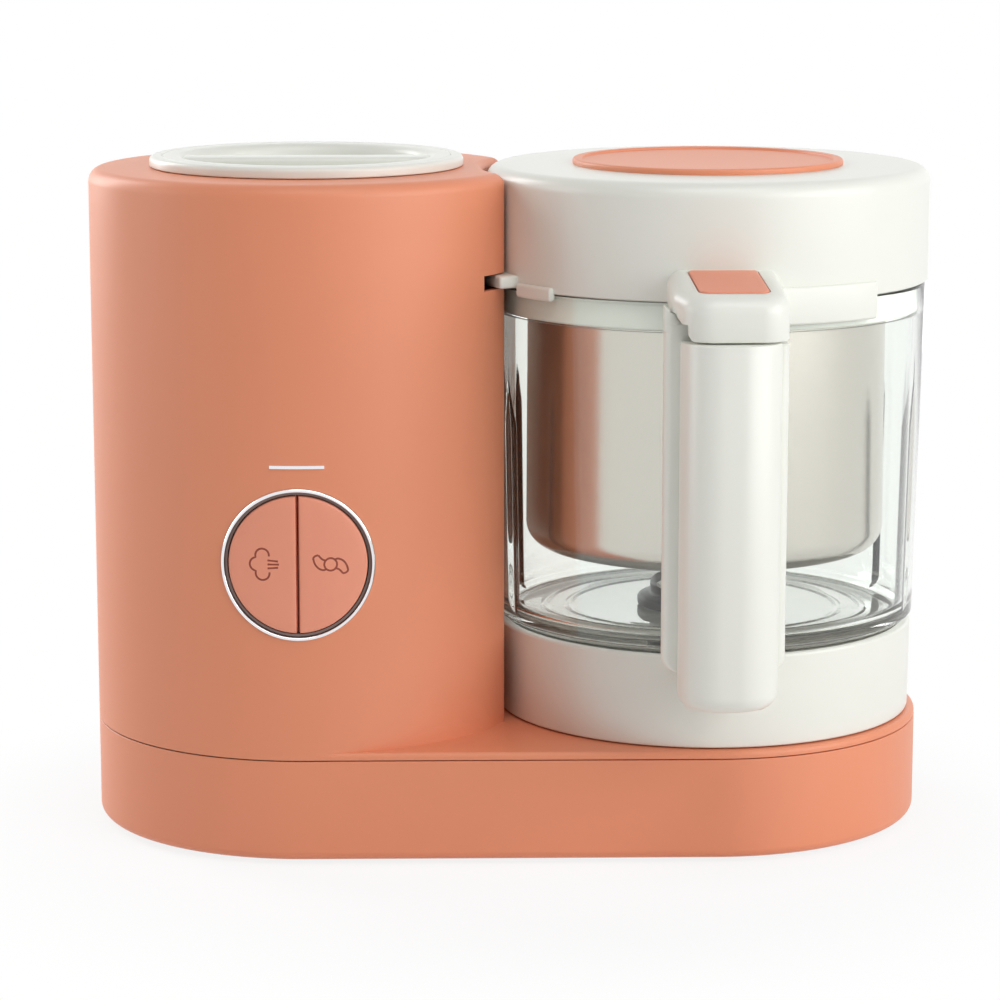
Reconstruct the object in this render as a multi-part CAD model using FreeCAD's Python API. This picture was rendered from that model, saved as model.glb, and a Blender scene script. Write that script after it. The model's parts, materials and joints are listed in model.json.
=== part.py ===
"""Baby food maker: a steaming tower beside a glass blending jar, on one long base.

Millimetres, +Z up. The tower and the jar stand on two upright axes that are the
centres of the base's round ends. Shapes are drawn about the middle of the base and
moved when they are written, so that the finished object is centred.
"""
import FreeCAD, Part
import math
import os

# Plan of the whole object
END_RADIUS = 71.5
AXIS_OVERLAP = 11.0
AXIS_SPACING = 2 * END_RADIUS - AXIS_OVERLAP
TOWER_X = -AXIS_SPACING / 2
JAR_X = AXIS_SPACING / 2

# Clearances
SEAM_GAP = 0.4
SLIDE_GAP = 0.4
FIT_GAP = 0.2
RUN_GAP = 0.05
MOVE_GAP = 0.5

# Base
FOOT_PROUD = 1.5
FOOT_RECESS = 1.0
FOOT_RADIUS = 8.0
FOOT_STEP = 6.0
FOOT_INSET = 17.5
BASE_BEVEL = 3.0
PAN_WALL = 2.6
PAN_FLOOR = 3.0
DECK_TOP = 37.2
DECK_WALL = 2.4
DECK_ROUND = 1.6
LIP_WALL = 1.6
LIP_DEPTH = 4.0
POST_RADIUS = 4.5
POST_END_INSET = 35.5
POST_SIDE_INSET = 33.5
VENT_COUNT = 7
VENT_PITCH = 7.0
VENT_WIDTH = 2.5
VENT_LENGTH = 26.0
GLAND_X = -30.0
GLAND_Z = 17.0
GLAND_RADIUS = 6.5
GLAND_FLANGE = 2.0
GLAND_BORE = 3.2
GLAND_LENGTH = 14.0

# Tower
TOWER_TOP = 218.0
TOWER_ROUND = 4.4
TOWER_WALL = 2.6
TOWER_ROOF = 4.0
HOLLOW_GAP = 1.2
HOLLOW_ROUND = 3.0

# Buttons on the tower's front, a little to the left of its middle
FACE_OFFSET = 1.5
BUTTON_Z = 98.4
BEZEL_RADIUS = 24.5
BEZEL_WIDTH = 1.1
BEZEL_PROUD = 0.8
WELL_WALL = 0.8
WELL_FLOOR = 2.0
WELL_DEPTH = 15.0
WELL_SETBACK = 0.8
BUTTON_SPLIT = 1.0
BUTTON_DEPTH = 9.0
BUTTON_PROUD = 0.3
BUTTON_TRAVEL = 1.2
STEM_RADIUS = 2.5
STEM_OFFSET = 10.0
BOARD_THICK = 1.6
BOARD_HALF = 22.0
STANDOFF_LENGTH = 7.0
STANDOFF_RADIUS = 3.0
STANDOFF_OFFSET = 15.0
TACT_SIDE = 6.0
TACT_HEIGHT = 3.5
ACCENT_Z = 129.7
ACCENT_LENGTH = 17.3
ACCENT_HEIGHT = 1.0
ACCENT_PROUD = 0.4
ACCENT_SUNK = 1.0

# Boiler in the top of the tower
TANK_INSET = 25.5
TANK_WALL = 1.0
TANK_BOTTOM = 137.0
TANK_FLANGE = 3.5
TANK_FLANGE_THICK = 1.5
HEATER_INSET = 8.0
HEATER_THICK = 11.0
THERMOSTAT_RADIUS = 9.0
THERMOSTAT_THICK = 7.0
CAP_OVERHANG = 5.5
CAP_THICK = 3.5
CAP_ROUND = 1.5
CAP_PLUG_DEPTH = 12.0
CAP_WALL = 2.2
CAP_RIM_WIDTH = 15.5
CAP_GRIP_HALF = 6.0
CAP_GRIP_DROP = 0.6
CAP_SEAL_HEIGHT = 3.0
CAP_SEAL_WIDTH = 1.4
STEAM_DROP = 19.0
NOZZLE_RADIUS = 5.0
NOZZLE_BORE = 3.0
PORT_SEAL_RADIUS = 8.0
PORT_SEAL_THICK = 0.8
SLOT_HEIGHT = 5.0
SLOT_DEPTH = 12.3
SLOT_START_ANGLE = 188.0
SLOT_END_ANGLE = 216.0
SWITCH_ANGLE = 200.0
SWITCH_WIDTH = 8.0
SWITCH_LENGTH = 9.0
SWITCH_HEIGHT = 16.0
SHELF_THICK = 3.0

# Motor in the bottom of the tower
MOTOR_RADIUS = 26.0
MOTOR_HEIGHT = 60.0
MOTOR_WALL = 2.0
MOTOR_END = 3.0
MAGNET_THICK = 5.0
MAGNET_ANGLE = 140.0
ROTOR_GAP = 0.8
ROTOR_END_GAP = 6.0
MOTOR_SHAFT_RADIUS = 3.0
BRACKET_RADIUS = 40.0
BRACKET_THICK = 3.0
BRACKET_NOSE = 7.0
BRACKET_BOSS_HEIGHT = 9.0
MOTOR_SCREW_CIRCLE = 16.0

# Belt drive in the base
PULLEY_BOTTOM = 8.0
PULLEY_HEIGHT = 9.0
PULLEY_LIP = 2.2
PULLEY_LIP_THICK = 0.8
MOTOR_PULLEY_RADIUS = 10.0
DRIVEN_PULLEY_RADIUS = 20.0
BELT_THICK = 1.6
BELT_GAP = 0.3
DRIVE_SHAFT_RADIUS = 4.0
BEARING_RADIUS = 11.0
BEARING_THICK = 6.0
BEARING_SHOULDER = 9.0
CARRIER_RADIUS = 14.5
CARRIER_BOTTOM = 19.0
CARRIER_FLANGE_RADIUS = 26.0
CARRIER_FLANGE_THICK = 3.0
CARRIER_SCREW_CIRCLE = 21.0
SOCKET_RADIUS = 14.0
SOCKET_WALL = 2.5
SOCKET_FLOOR = 2.0
SOCKET_LUG_REACH = 4.0
DOG_HUB_RADIUS = 6.0
DOG_COUNT = 3
DOG_ANGLE = 20.0
DOG_PLAY_ANGLE = 2.0

# Jar seat and jar collar
SEAT_GAP = 6.5
SEAT_WALL = 3.0
SEAT_HEIGHT = 6.5
LUG_COUNT = 3
LUG_ANGLE = 20.0
LUG_FIRST_ANGLE = 30.0
LUG_REACH = 3.5
LUG_THICK = 2.0
HOOK_THICK = 2.4
COLLAR_SETBACK = 2.2
COLLAR_TOP = 67.7
COLLAR_WALL = 2.8
COLLAR_ROUND = 0.7
COLLAR_FLOOR = 53.0
COLLAR_FLOOR_THICK = 3.0
HUB_RADIUS = 12.0
HUB_SUNK = 3.0
BUSH_RADIUS = 8.0
SEAL_HEIGHT = 3.0
GASKET_THICK = 2.5

# Glass jar
GLASS_HEEL_PROUD = 0.6
GLASS_TOP_SETBACK = 0.8
GLASS_WALL = 3.6
GLASS_FLOOR_THICK = 12.5
GLASS_FLOOR_ROUND = 6.0
GLASS_HEEL_RISE = 2.5
LEDGE_DEPTH = 9.6
LEDGE_WIDTH = 1.6

# Blade
BLADE_SHAFT_RADIUS = 4.0
BLADE_FLANGE_RADIUS = 22.0
BLADE_FLANGE_HEIGHT = 3.0
BLADE_HUB_RADIUS = 18.0
BLADE_HUB_HEIGHT = 9.0
BLADE_HUB_ROUND = 3.0
KNIFE_REACH = 36.0
KNIFE_WIDTH = 13.0
KNIFE_THICK = 1.2
KNIFE_TIP = 4.0
KNIFE_SPREAD = 28.0
NUT_RADIUS = 8.0
NUT_HEIGHT = 3.5

# Steam basket
BASKET_GAP = 9.1
BASKET_CLEARANCE = 5.6
BASKET_WALL = 0.8
BASKET_ROUND = 8.0
RIM_HEIGHT = 5.6
RIM_WEB = 1.6
RIM_WALL = 2.4
RIM_LIP = 0.6
RIM_GAP = 0.4
HOLE_RADIUS = 2.0
HOLE_MARGIN = 3.0
HOLE_RING_COUNT = 4
HOLES_PER_RING = 6

# Lid
LID_RISE = 0.5
LID_OVERHANG = 1.5
LID_HEIGHT = 37.1
LID_ROUND = 5.0
LID_WALL = 2.5
LID_SEAL_HEIGHT = 2.4
LID_SEAL_WIDTH = 3.5
LINER_FLANGE = 2.5
LINER_DROP = 3.0
LINER_WALL = 2.4
DISC_SETBACK = 28.5
DISC_THICK = 1.9
DISC_RIM = 3.0
DISC_GROOVE = 0.8
TONGUE_START_ANGLE = 195.0
TONGUE_END_ANGLE = 208.6
TONGUE_REACH = 6.5
BLOCK_END_ANGLE = 225.0
BLOCK_DROP = 2.4
BLOCK_HEIGHT = 4.5
BLOCK_REACH = 1.5

# Handle
HANDLE_DROP = 9.0
FINGER_GAP = 21.0
SPINE_THICK = 6.0
SPINE_LEFT = 20.4
SPINE_RIGHT = 18.0
SPINE_ROUND = 2.4
SPINE_BOTTOM = 62.0
NECK_HALF = 13.0
NECK_BOTTOM = 57.0
NECK_TOP = 66.5
POST_RIGHT = 10.0
GRIP_DEPTH = 14.0
GRIP_HALF = 15.5
GRIP_BOTTOM = 59.5
GRIP_ROUND = 13.0
GRIP_END_ROUND = 10.0
HANDLE_SCREW_INSET = 22.0
HANDLE_SCREW_LENGTH = 14.0

# Hood of the lid, over the handle's top
HOOD_SIDE = 19.4
HOOD_LEFT = 13.0
HOOD_RIGHT = 17.5
HOOD_GAP = 0.6
HOOD_SETBACK = 3.0
HOOD_HEIGHT = 10.1
HOOD_SLOPE_ANGLE = 6.0
HOOD_ROUND = 5.0
WING_END_ANGLE = 314.0
WING_REACH = 1.5
WING_DROP = 7.4
WING_HEIGHT = 12.0
LATCH_WIDTH = 21.4
LATCH_DEPTH = 31.0
LATCH_THICK = 3.2
LATCH_PROUD = 0.6
LATCH_TRAVEL = 1.5
LATCH_BACK = 2.0
LATCH_OFFSET = 0.2
LATCH_ROUND = 3.0

# Screws
SCREW_RADIUS = 1.6
SCREW_HEAD_RADIUS = 3.0
SCREW_HEAD_HEIGHT = 2.0
SCREW_LENGTH = 12.0
SCREW_SUNK = 0.5

# Sizes that follow from the ones above
PAN_BOTTOM = FOOT_PROUD
DECK_BOTTOM = DECK_TOP - DECK_WALL
PAN_TOP = DECK_BOTTOM - SEAM_GAP
PAN_INSIDE = PAN_BOTTOM + PAN_FLOOR
FOOT_X = JAR_X - FOOT_STEP
FOOT_Y = END_RADIUS - FOOT_INSET
POST_X = JAR_X + END_RADIUS - POST_END_INSET
POST_Y = END_RADIUS - POST_SIDE_INSET
LID_RADIUS = END_RADIUS + LID_OVERHANG
LID_TOP = TOWER_TOP + LID_RISE
LID_BOTTOM = LID_TOP - LID_HEIGHT
HOLLOW_RADIUS = LID_RADIUS + HOLLOW_GAP
CEILING = TOWER_TOP - TOWER_ROOF
FACE_X = TOWER_X - FACE_OFFSET
BOARD_Y = -END_RADIUS + WELL_DEPTH + STANDOFF_LENGTH
BEZEL_INSIDE = BEZEL_RADIUS - BEZEL_WIDTH
WELL_OUTSIDE = BEZEL_INSIDE - FIT_GAP
WELL_INSIDE = WELL_OUTSIDE - WELL_WALL
BUTTON_RADIUS = WELL_INSIDE - SLIDE_GAP
STEM_END = BOARD_Y - TACT_HEIGHT - BUTTON_TRAVEL - SLIDE_GAP
STEAM_Z = TOWER_TOP - STEAM_DROP
TANK_RADIUS = END_RADIUS - TANK_INSET
HEATER_RADIUS = TANK_RADIUS - HEATER_INSET
FLANGE_TOP = TOWER_TOP - FIT_GAP
CAP_RADIUS = TANK_RADIUS + CAP_OVERHANG
CAP_BOWL_RADIUS = CAP_RADIUS - CAP_RIM_WIDTH
CAP_BOTTOM = FLANGE_TOP + SLIDE_GAP
CAP_TOP = CAP_BOTTOM + CAP_THICK
PLUG_RADIUS = TANK_RADIUS - TANK_WALL - CAP_SEAL_WIDTH
MOTOR_TOP = DECK_BOTTOM + MOTOR_HEIGHT
PULLEY_TOP = PULLEY_BOTTOM + PULLEY_HEIGHT
COLLAR_BOTTOM = DECK_TOP + SLIDE_GAP
COLLAR_RADIUS = END_RADIUS - COLLAR_SETBACK
COLLAR_INSIDE = COLLAR_RADIUS - COLLAR_WALL
SEAT_RADIUS = COLLAR_INSIDE - SEAT_GAP
FLOOR_TOP = COLLAR_FLOOR + COLLAR_FLOOR_THICK
SOCKET_BOTTOM = DECK_TOP + MOVE_GAP
SOCKET_TOP = COLLAR_FLOOR - MOVE_GAP
GLASS_BOTTOM = FLOOR_TOP + GASKET_THICK
GLASS_FLOOR = GLASS_BOTTOM + GLASS_FLOOR_THICK
GLASS_TOP = LID_BOTTOM - SLIDE_GAP
GLASS_TOP_RADIUS = LID_RADIUS - GLASS_TOP_SETBACK
GLASS_HEEL_RADIUS = COLLAR_RADIUS + GLASS_HEEL_PROUD
GLASS_HEEL = COLLAR_TOP + FIT_GAP
LEDGE_Z = GLASS_TOP - LEDGE_DEPTH
GLASS_INSIDE = GLASS_TOP_RADIUS - GLASS_WALL
HUB_TOP = GLASS_FLOOR - HUB_SUNK
HUB_BOTTOM = GLASS_FLOOR + MOVE_GAP
KNIFE_Z = HUB_BOTTOM + BLADE_HUB_HEIGHT
NUT_Z = KNIFE_Z + 2 * KNIFE_THICK
NUT_TOP = NUT_Z + NUT_HEIGHT
BASKET_RADIUS = GLASS_INSIDE - BASKET_GAP
BASKET_BOTTOM = NUT_TOP + BASKET_CLEARANCE
HOLE_RING_PITCH = (BASKET_RADIUS - BASKET_ROUND - HOLE_RADIUS - HOLE_MARGIN) / HOLE_RING_COUNT
RIM_RADIUS = GLASS_INSIDE + LEDGE_WIDTH - RIM_GAP
RIM_BOTTOM = LEDGE_Z + RIM_GAP
RIM_TOP = RIM_BOTTOM + RIM_HEIGHT
BASKET_TOP = RIM_TOP - RIM_LIP
LID_INSIDE = LID_RADIUS - LID_WALL
LINER_Z = LID_BOTTOM + LID_SEAL_HEIGHT
LINER_RADIUS = LID_INSIDE - LID_SEAL_WIDTH
SLOT_BOTTOM = LID_BOTTOM - FIT_GAP
SLOT_TOP = SLOT_BOTTOM + SLOT_HEIGHT
SLOT_RADIUS = LID_RADIUS + SLOT_DEPTH
TONGUE_RADIUS = LID_RADIUS + TONGUE_REACH
DISC_RADIUS = LID_RADIUS - DISC_SETBACK
SPINE_BACK = LID_RADIUS + FINGER_GAP
SPINE_FRONT = SPINE_BACK + SPINE_THICK
HANDLE_REACH = SPINE_FRONT + GRIP_DEPTH
HANDLE_TOP = LID_BOTTOM - HANDLE_DROP
POST_TOP = LID_BOTTOM - SLIDE_GAP
HOOD_BOTTOM = HANDLE_TOP + HOOD_GAP
HOOD_FRONT = HANDLE_REACH - HOOD_SETBACK
HOOD_TOP = LID_BOTTOM + HOOD_HEIGHT
HOOD_RISE = math.tan(math.radians(HOOD_SLOPE_ANGLE))
WING_BOTTOM = LID_BOTTOM - WING_DROP
WING_TOP = WING_BOTTOM + WING_HEIGHT
LATCH_SUNK = LATCH_THICK - LATCH_PROUD
JAR_END_RADIUS = max(END_RADIUS, LID_RADIUS)
FRAME_SHIFT_X = (END_RADIUS - JAR_END_RADIUS) / 2
FRAME_SHIFT_Y = (HANDLE_REACH - JAR_END_RADIUS) / 2

# Directions, and angles counted from the right as seen from above
BACK_ANGLE = 90.0
LEFT_ANGLE = 180.0
FRONT_ANGLE = 270.0
FULL_TURN = 360.0
UP = FreeCAD.Vector(0, 0, 1)
BACK = FreeCAD.Vector(0, 1, 0)
RIGHT = FreeCAD.Vector(1, 0, 0)


def point(x, y, z):
    return FreeCAD.Vector(x, y, z)


def cylinder(radius, bottom, top, x=0.0, y=0.0):
    """Upright cylinder."""
    return Part.makeCylinder(radius, top - bottom, point(x, y, bottom))


def tube(outside, inside, bottom, top, x=0.0, y=0.0):
    """Upright ring with straight walls."""
    return cylinder(outside, bottom, top, x, y).cut(cylinder(inside, bottom, top, x, y))


def rod_back(radius, front, back, x, z):
    """Cylinder that lies along Y."""
    return Part.makeCylinder(radius, back - front, point(x, front, z), BACK)


def rod_right(radius, left, right, y, z):
    """Cylinder that lies along X."""
    return Part.makeCylinder(radius, right - left, point(left, y, z), RIGHT)


def block(left, right, front, back, bottom, top):
    return Part.makeBox(right - left, back - front, top - bottom, point(left, front, bottom))


def sector(inside, outside, start, end, bottom, top, x):
    """Piece of an upright ring between two angles, in degrees from +X."""
    origin = point(0, 0, 0)
    wedge = Part.makeCylinder(outside, top - bottom, point(0, 0, bottom), UP, end - start)
    wedge = wedge.cut(cylinder(inside, bottom, top))
    wedge.rotate(origin, UP, start)
    wedge.translate(point(x, 0, 0))
    return wedge


def rounded_face(corners, place):
    """Face inside a closed outline of corners (u, v) or (u, v, rounding)."""
    count = len(corners)
    flat = [FreeCAD.Vector(c[0], c[1], 0) for c in corners]
    rounding = [c[2] if len(c) > 2 else 0.0 for c in corners]
    starts = []
    middles = []
    ends = []
    for i in range(count):
        to_last = (flat[i - 1] - flat[i]).normalize()
        to_next = (flat[(i + 1) % count] - flat[i]).normalize()
        half = to_last.getAngle(to_next) / 2
        run = rounding[i] / math.tan(half)
        inward = (to_last + to_next).normalize()
        starts.append(flat[i] + to_last * run)
        ends.append(flat[i] + to_next * run)
        middles.append(flat[i] + inward * (rounding[i] / math.sin(half) - rounding[i]))
    edges = []
    for i in range(count):
        after = (i + 1) % count
        if rounding[i] > 0:
            arc = Part.Arc(place(starts[i]), place(middles[i]), place(ends[i]))
            edges.append(arc.toShape())
        edges.append(Part.LineSegment(place(ends[i]), place(starts[after])).toShape())
    return Part.Face(Part.Wire(edges))


def turned(corners, x):
    """Solid turned about an upright axis from corners (radius, height, rounding)."""
    face = rounded_face(corners, lambda p: point(p.x, 0, p.y))
    solid = face.revolve(point(0, 0, 0), UP, 360)
    solid.translate(point(x, 0, 0))
    return solid


def raised(corners, bottom, top):
    """Upright prism on corners (x, y, rounding)."""
    face = rounded_face(corners, lambda p: point(p.x, p.y, bottom))
    return face.extrude(point(0, 0, top - bottom))


def side_prism(corners, left, right):
    """Prism along X on corners (y, z, rounding)."""
    face = rounded_face(corners, lambda p: point(left, p.x, p.y))
    return face.extrude(point(right - left, 0, 0))


def joined(first, *others):
    """One solid from overlapping pieces."""
    return first.fuse(list(others)).removeSplitter()


def stadium(inset, bottom, top):
    """The base's long outline, drawn in by an inset."""
    radius = END_RADIUS - inset
    middle = block(TOWER_X, JAR_X, -radius, radius, bottom, top)
    left = cylinder(radius, bottom, top, TOWER_X)
    right = cylinder(radius, bottom, top, JAR_X)
    return joined(middle, left, right)


def edges_at(shape, height):
    """Edges that lie wholly at one height."""
    found = []
    for edge in shape.Edges:
        box = edge.BoundBox
        if abs(box.ZMin - height) < 1e-4 and abs(box.ZMax - height) < 1e-4:
            found.append(edge)
    return found


def corners_of(x, y):
    """Four places that mirror each other about the base's middle."""
    return [(x, y), (-x, y), (-x, -y), (x, -y)]


def on_circle(radius, count, first, x):
    """Evenly spaced places on a circle about an upright axis."""
    places = []
    for i in range(count):
        angle = math.radians(first + FULL_TURN * i / count)
        places.append((x + radius * math.cos(angle), radius * math.sin(angle)))
    return places


def screw_up(x, y, head_bottom, length):
    """Screw whose head is below its shank."""
    head_top = head_bottom + SCREW_HEAD_HEIGHT
    head = cylinder(SCREW_HEAD_RADIUS, head_bottom, head_top, x, y)
    return joined(head, cylinder(SCREW_RADIUS, head_bottom, head_top + length, x, y))


def screw_down(x, y, head_bottom, length):
    """Screw whose head is above its shank."""
    head_top = head_bottom + SCREW_HEAD_HEIGHT
    head = cylinder(SCREW_HEAD_RADIUS, head_bottom, head_top, x, y)
    return joined(head, cylinder(SCREW_RADIUS, head_bottom - length, head_top, x, y))


def screw_hole(x, y, bottom, top):
    return cylinder(SCREW_RADIUS + RUN_GAP, bottom, top, x, y)


# Base
def base_pan():
    """Tray that carries everything, closed below and open above."""
    tray = stadium(0, PAN_BOTTOM, PAN_TOP)
    tray = tray.makeChamfer(BASE_BEVEL, edges_at(tray, PAN_BOTTOM))
    tray = tray.cut(stadium(PAN_WALL, PAN_INSIDE, PAN_TOP))
    cuts = []
    for x, y in corners_of(FOOT_X, FOOT_Y):
        cuts.append(cylinder(FOOT_RADIUS, PAN_BOTTOM, PAN_BOTTOM + FOOT_RECESS, x, y))
    for x, y in corners_of(POST_X, POST_Y):
        cuts.append(screw_hole(x, y, PAN_BOTTOM, PAN_INSIDE))
        sunk_top = PAN_BOTTOM + SCREW_HEAD_HEIGHT
        cuts.append(cylinder(SCREW_HEAD_RADIUS + FIT_GAP, PAN_BOTTOM, sunk_top, x, y))
    for i in range(VENT_COUNT):
        x = (i - (VENT_COUNT - 1) / 2) * VENT_PITCH
        half = VENT_WIDTH / 2
        reach = VENT_LENGTH / 2
        cuts.append(block(x - half, x + half, -reach, reach, PAN_BOTTOM, PAN_INSIDE))
    cuts.append(rod_back(GLAND_RADIUS, END_RADIUS - PAN_WALL, END_RADIUS, GLAND_X, GLAND_Z))
    return tray.cut(Part.makeCompound(cuts))


def rubber_feet():
    top = FOOT_PROUD + FOOT_RECESS
    return [cylinder(FOOT_RADIUS, 0, top, x, y) for x, y in corners_of(FOOT_X, FOOT_Y)]


def bottom_screws():
    return [screw_up(x, y, PAN_BOTTOM, SCREW_LENGTH) for x, y in corners_of(POST_X, POST_Y)]


def cord_gland():
    """Bush in the back wall where the mains lead goes in."""
    inner_face = END_RADIUS - PAN_WALL
    body = rod_back(GLAND_RADIUS, END_RADIUS - GLAND_LENGTH, END_RADIUS, GLAND_X, GLAND_Z)
    flange_front = inner_face - GLAND_FLANGE
    flange = rod_back(GLAND_RADIUS + GLAND_FLANGE, flange_front, inner_face, GLAND_X, GLAND_Z)
    bore = rod_back(GLAND_BORE, END_RADIUS - GLAND_LENGTH, END_RADIUS, GLAND_X, GLAND_Z)
    return joined(body, flange).cut(bore)


# Housing
def jar_hollow():
    """Space that the jar and the lid need beside the tower, flared at the top."""
    flare = HOLLOW_RADIUS + HOLLOW_ROUND
    tool = cylinder(HOLLOW_RADIUS, DECK_TOP, TOWER_TOP, JAR_X)
    ring = tube(flare, HOLLOW_RADIUS - FIT_GAP, TOWER_TOP - HOLLOW_ROUND, TOWER_TOP, JAR_X)
    edge = Part.makeTorus(flare, HOLLOW_ROUND, point(JAR_X, 0, TOWER_TOP - HOLLOW_ROUND))
    return tool.fuse(ring.cut(edge))


def tower_shell():
    wall = turned(
        [(0, DECK_BOTTOM), (END_RADIUS, DECK_BOTTOM),
         (END_RADIUS, TOWER_TOP, TOWER_ROUND), (0, TOWER_TOP)],
        TOWER_X,
    )
    inside = cylinder(END_RADIUS - TOWER_WALL, DECK_TOP, CEILING, TOWER_X)
    inside = inside.cut(cylinder(HOLLOW_RADIUS + TOWER_WALL, DECK_TOP, CEILING, JAR_X))
    return wall.cut(jar_hollow()).cut(inside)


def switch_place():
    """Middle of the safety switch in plan, and the radius it stands at."""
    radius = SLOT_RADIUS + MOVE_GAP + SWITCH_LENGTH / 2
    angle = math.radians(SWITCH_ANGLE)
    return JAR_X + radius * math.cos(angle), radius * math.sin(angle)


def shelf_top():
    return (SLOT_BOTTOM + SLOT_TOP - SWITCH_HEIGHT) / 2


def switch_shelf():
    """Shelf on the hollow wall that carries the safety switch."""
    inside = HOLLOW_RADIUS + TOWER_WALL / 2
    outside = SLOT_RADIUS + SWITCH_LENGTH
    half = math.degrees(SWITCH_WIDTH / SLOT_RADIUS)
    start = SWITCH_ANGLE - half
    end = SWITCH_ANGLE + half
    shelf = sector(inside, outside, start, end, shelf_top() - SHELF_THICK, shelf_top(), JAR_X)
    limit = cylinder(END_RADIUS - TOWER_WALL, DECK_TOP, CEILING, TOWER_X)
    return shelf.common(limit).cut(cylinder(TANK_RADIUS + FIT_GAP, DECK_TOP, CEILING, TOWER_X))


def body_housing():
    """Deck and tower in one moulding, with the posts and lugs that hold other pieces."""
    deck = stadium(0, DECK_BOTTOM, DECK_TOP)
    deck = deck.makeFillet(DECK_ROUND, edges_at(deck, DECK_TOP))
    inset = PAN_WALL + FIT_GAP
    lip = stadium(inset, DECK_BOTTOM - LIP_DEPTH, DECK_BOTTOM)
    lip = lip.cut(stadium(inset + LIP_WALL, DECK_BOTTOM - LIP_DEPTH, DECK_BOTTOM))
    seat_top = DECK_TOP + SEAT_HEIGHT
    seat = tube(SEAT_RADIUS, SEAT_RADIUS - SEAT_WALL, DECK_TOP, seat_top, JAR_X)
    pieces = [lip, tower_shell(), switch_shelf(), seat]
    for i in range(LUG_COUNT):
        start = LUG_FIRST_ANGLE + FULL_TURN * i / LUG_COUNT
        outside = SEAT_RADIUS + LUG_REACH
        inside = SEAT_RADIUS - SEAT_WALL / 2
        end = start + LUG_ANGLE
        pieces.append(sector(inside, outside, start, end, seat_top - LUG_THICK, seat_top, JAR_X))
    for x, y in corners_of(POST_X, POST_Y):
        pieces.append(cylinder(POST_RADIUS, PAN_INSIDE, DECK_BOTTOM, x, y))
    for x, y in bracket_screw_places():
        pieces.append(cylinder(POST_RADIUS, DECK_TOP, DECK_TOP + BRACKET_BOSS_HEIGHT, x, y))
    return joined(deck, *pieces).cut(Part.makeCompound(housing_cuts()))


def housing_cuts():
    """Holes and recesses of the housing."""
    cuts = [cylinder(MOTOR_RADIUS + MOVE_GAP, DECK_BOTTOM, DECK_TOP, TOWER_X)]
    cuts.append(cylinder(BEARING_RADIUS + FIT_GAP, DECK_BOTTOM, DECK_TOP, JAR_X))
    cuts.append(cylinder(TANK_RADIUS + FIT_GAP, CEILING, TOWER_TOP, TOWER_X))
    flange = TANK_RADIUS + TANK_FLANGE + FIT_GAP
    cuts.append(cylinder(flange, FLANGE_TOP - TANK_FLANGE_THICK, TOWER_TOP, TOWER_X))
    front = -END_RADIUS - BEZEL_PROUD
    back = -END_RADIUS + WELL_DEPTH
    cuts.append(rod_back(BEZEL_RADIUS + RUN_GAP, front, back, FACE_X, BUTTON_Z))
    cuts.append(accent_shape(RUN_GAP))
    slot_inside = HOLLOW_RADIUS - HOLLOW_GAP
    start = SLOT_START_ANGLE
    end = SLOT_END_ANGLE
    cuts.append(sector(slot_inside, SLOT_RADIUS, start, end, SLOT_BOTTOM, SLOT_TOP, JAR_X))
    port_right = JAR_X - HOLLOW_RADIUS + TOWER_WALL
    port_left = JAR_X - HOLLOW_RADIUS - 2 * TOWER_WALL
    cuts.append(rod_right(NOZZLE_RADIUS + RUN_GAP, port_left, port_right, 0, STEAM_Z))
    for x, y in corners_of(POST_X, POST_Y):
        cuts.append(screw_hole(x, y, PAN_INSIDE, PAN_BOTTOM + SCREW_HEAD_HEIGHT + SCREW_LENGTH))
    for x, y in bracket_screw_places():
        cuts.append(screw_hole(x, y, DECK_BOTTOM, DECK_TOP + BRACKET_BOSS_HEIGHT))
    for x, y in carrier_screw_places():
        cuts.append(screw_hole(x, y, DECK_BOTTOM, DECK_TOP))
    return cuts


def bracket_screw_places():
    circle = (MOTOR_RADIUS + MOVE_GAP + BRACKET_RADIUS) / 2
    return on_circle(circle, 3, BACK_ANGLE, TOWER_X)


def carrier_screw_places():
    return on_circle(CARRIER_SCREW_CIRCLE, 3, BACK_ANGLE, JAR_X)


# Buttons
def front_skin(proud, depth):
    """Layer of the tower's front between a proud radius and a depth below the surface."""
    outside = END_RADIUS + proud
    return tube(outside, END_RADIUS - depth, DECK_TOP, TOWER_TOP, TOWER_X)


def button_bezel():
    front = -END_RADIUS - BEZEL_PROUD
    ring = rod_back(BEZEL_RADIUS, front, -END_RADIUS + WELL_DEPTH, FACE_X, BUTTON_Z)
    ring = ring.cut(rod_back(BEZEL_INSIDE, front, -END_RADIUS + WELL_DEPTH, FACE_X, BUTTON_Z))
    return ring.common(front_skin(BEZEL_PROUD, TOWER_WALL))


def stem_places():
    return [FACE_X - STEM_OFFSET, FACE_X + STEM_OFFSET]


def standoff_places():
    reach = STANDOFF_OFFSET
    return [(FACE_X + i * reach, BUTTON_Z + j * reach) for i in (-1, 1) for j in (-1, 1)]


def button_well():
    """Dark cup behind the bezel that guides both buttons and carries the board."""
    front = -END_RADIUS
    floor_back = front + WELL_DEPTH
    cup = rod_back(WELL_OUTSIDE, front, floor_back, FACE_X, BUTTON_Z)
    cup = cup.cut(rod_back(WELL_INSIDE, front, floor_back - WELL_FLOOR, FACE_X, BUTTON_Z))
    cup = cup.common(cylinder(END_RADIUS - WELL_SETBACK, DECK_TOP, TOWER_TOP, TOWER_X))
    for x, z in standoff_places():
        cup = cup.fuse(rod_back(STANDOFF_RADIUS, floor_back - WELL_FLOOR / 2, BOARD_Y, x, z))
    for x, z in standoff_places():
        cup = cup.cut(rod_back(SCREW_RADIUS + RUN_GAP, floor_back, BOARD_Y, x, z))
    for x in stem_places():
        cup = cup.cut(rod_back(STEM_RADIUS + SLIDE_GAP, front, floor_back, x, BUTTON_Z))
    return cup.removeSplitter()


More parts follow.
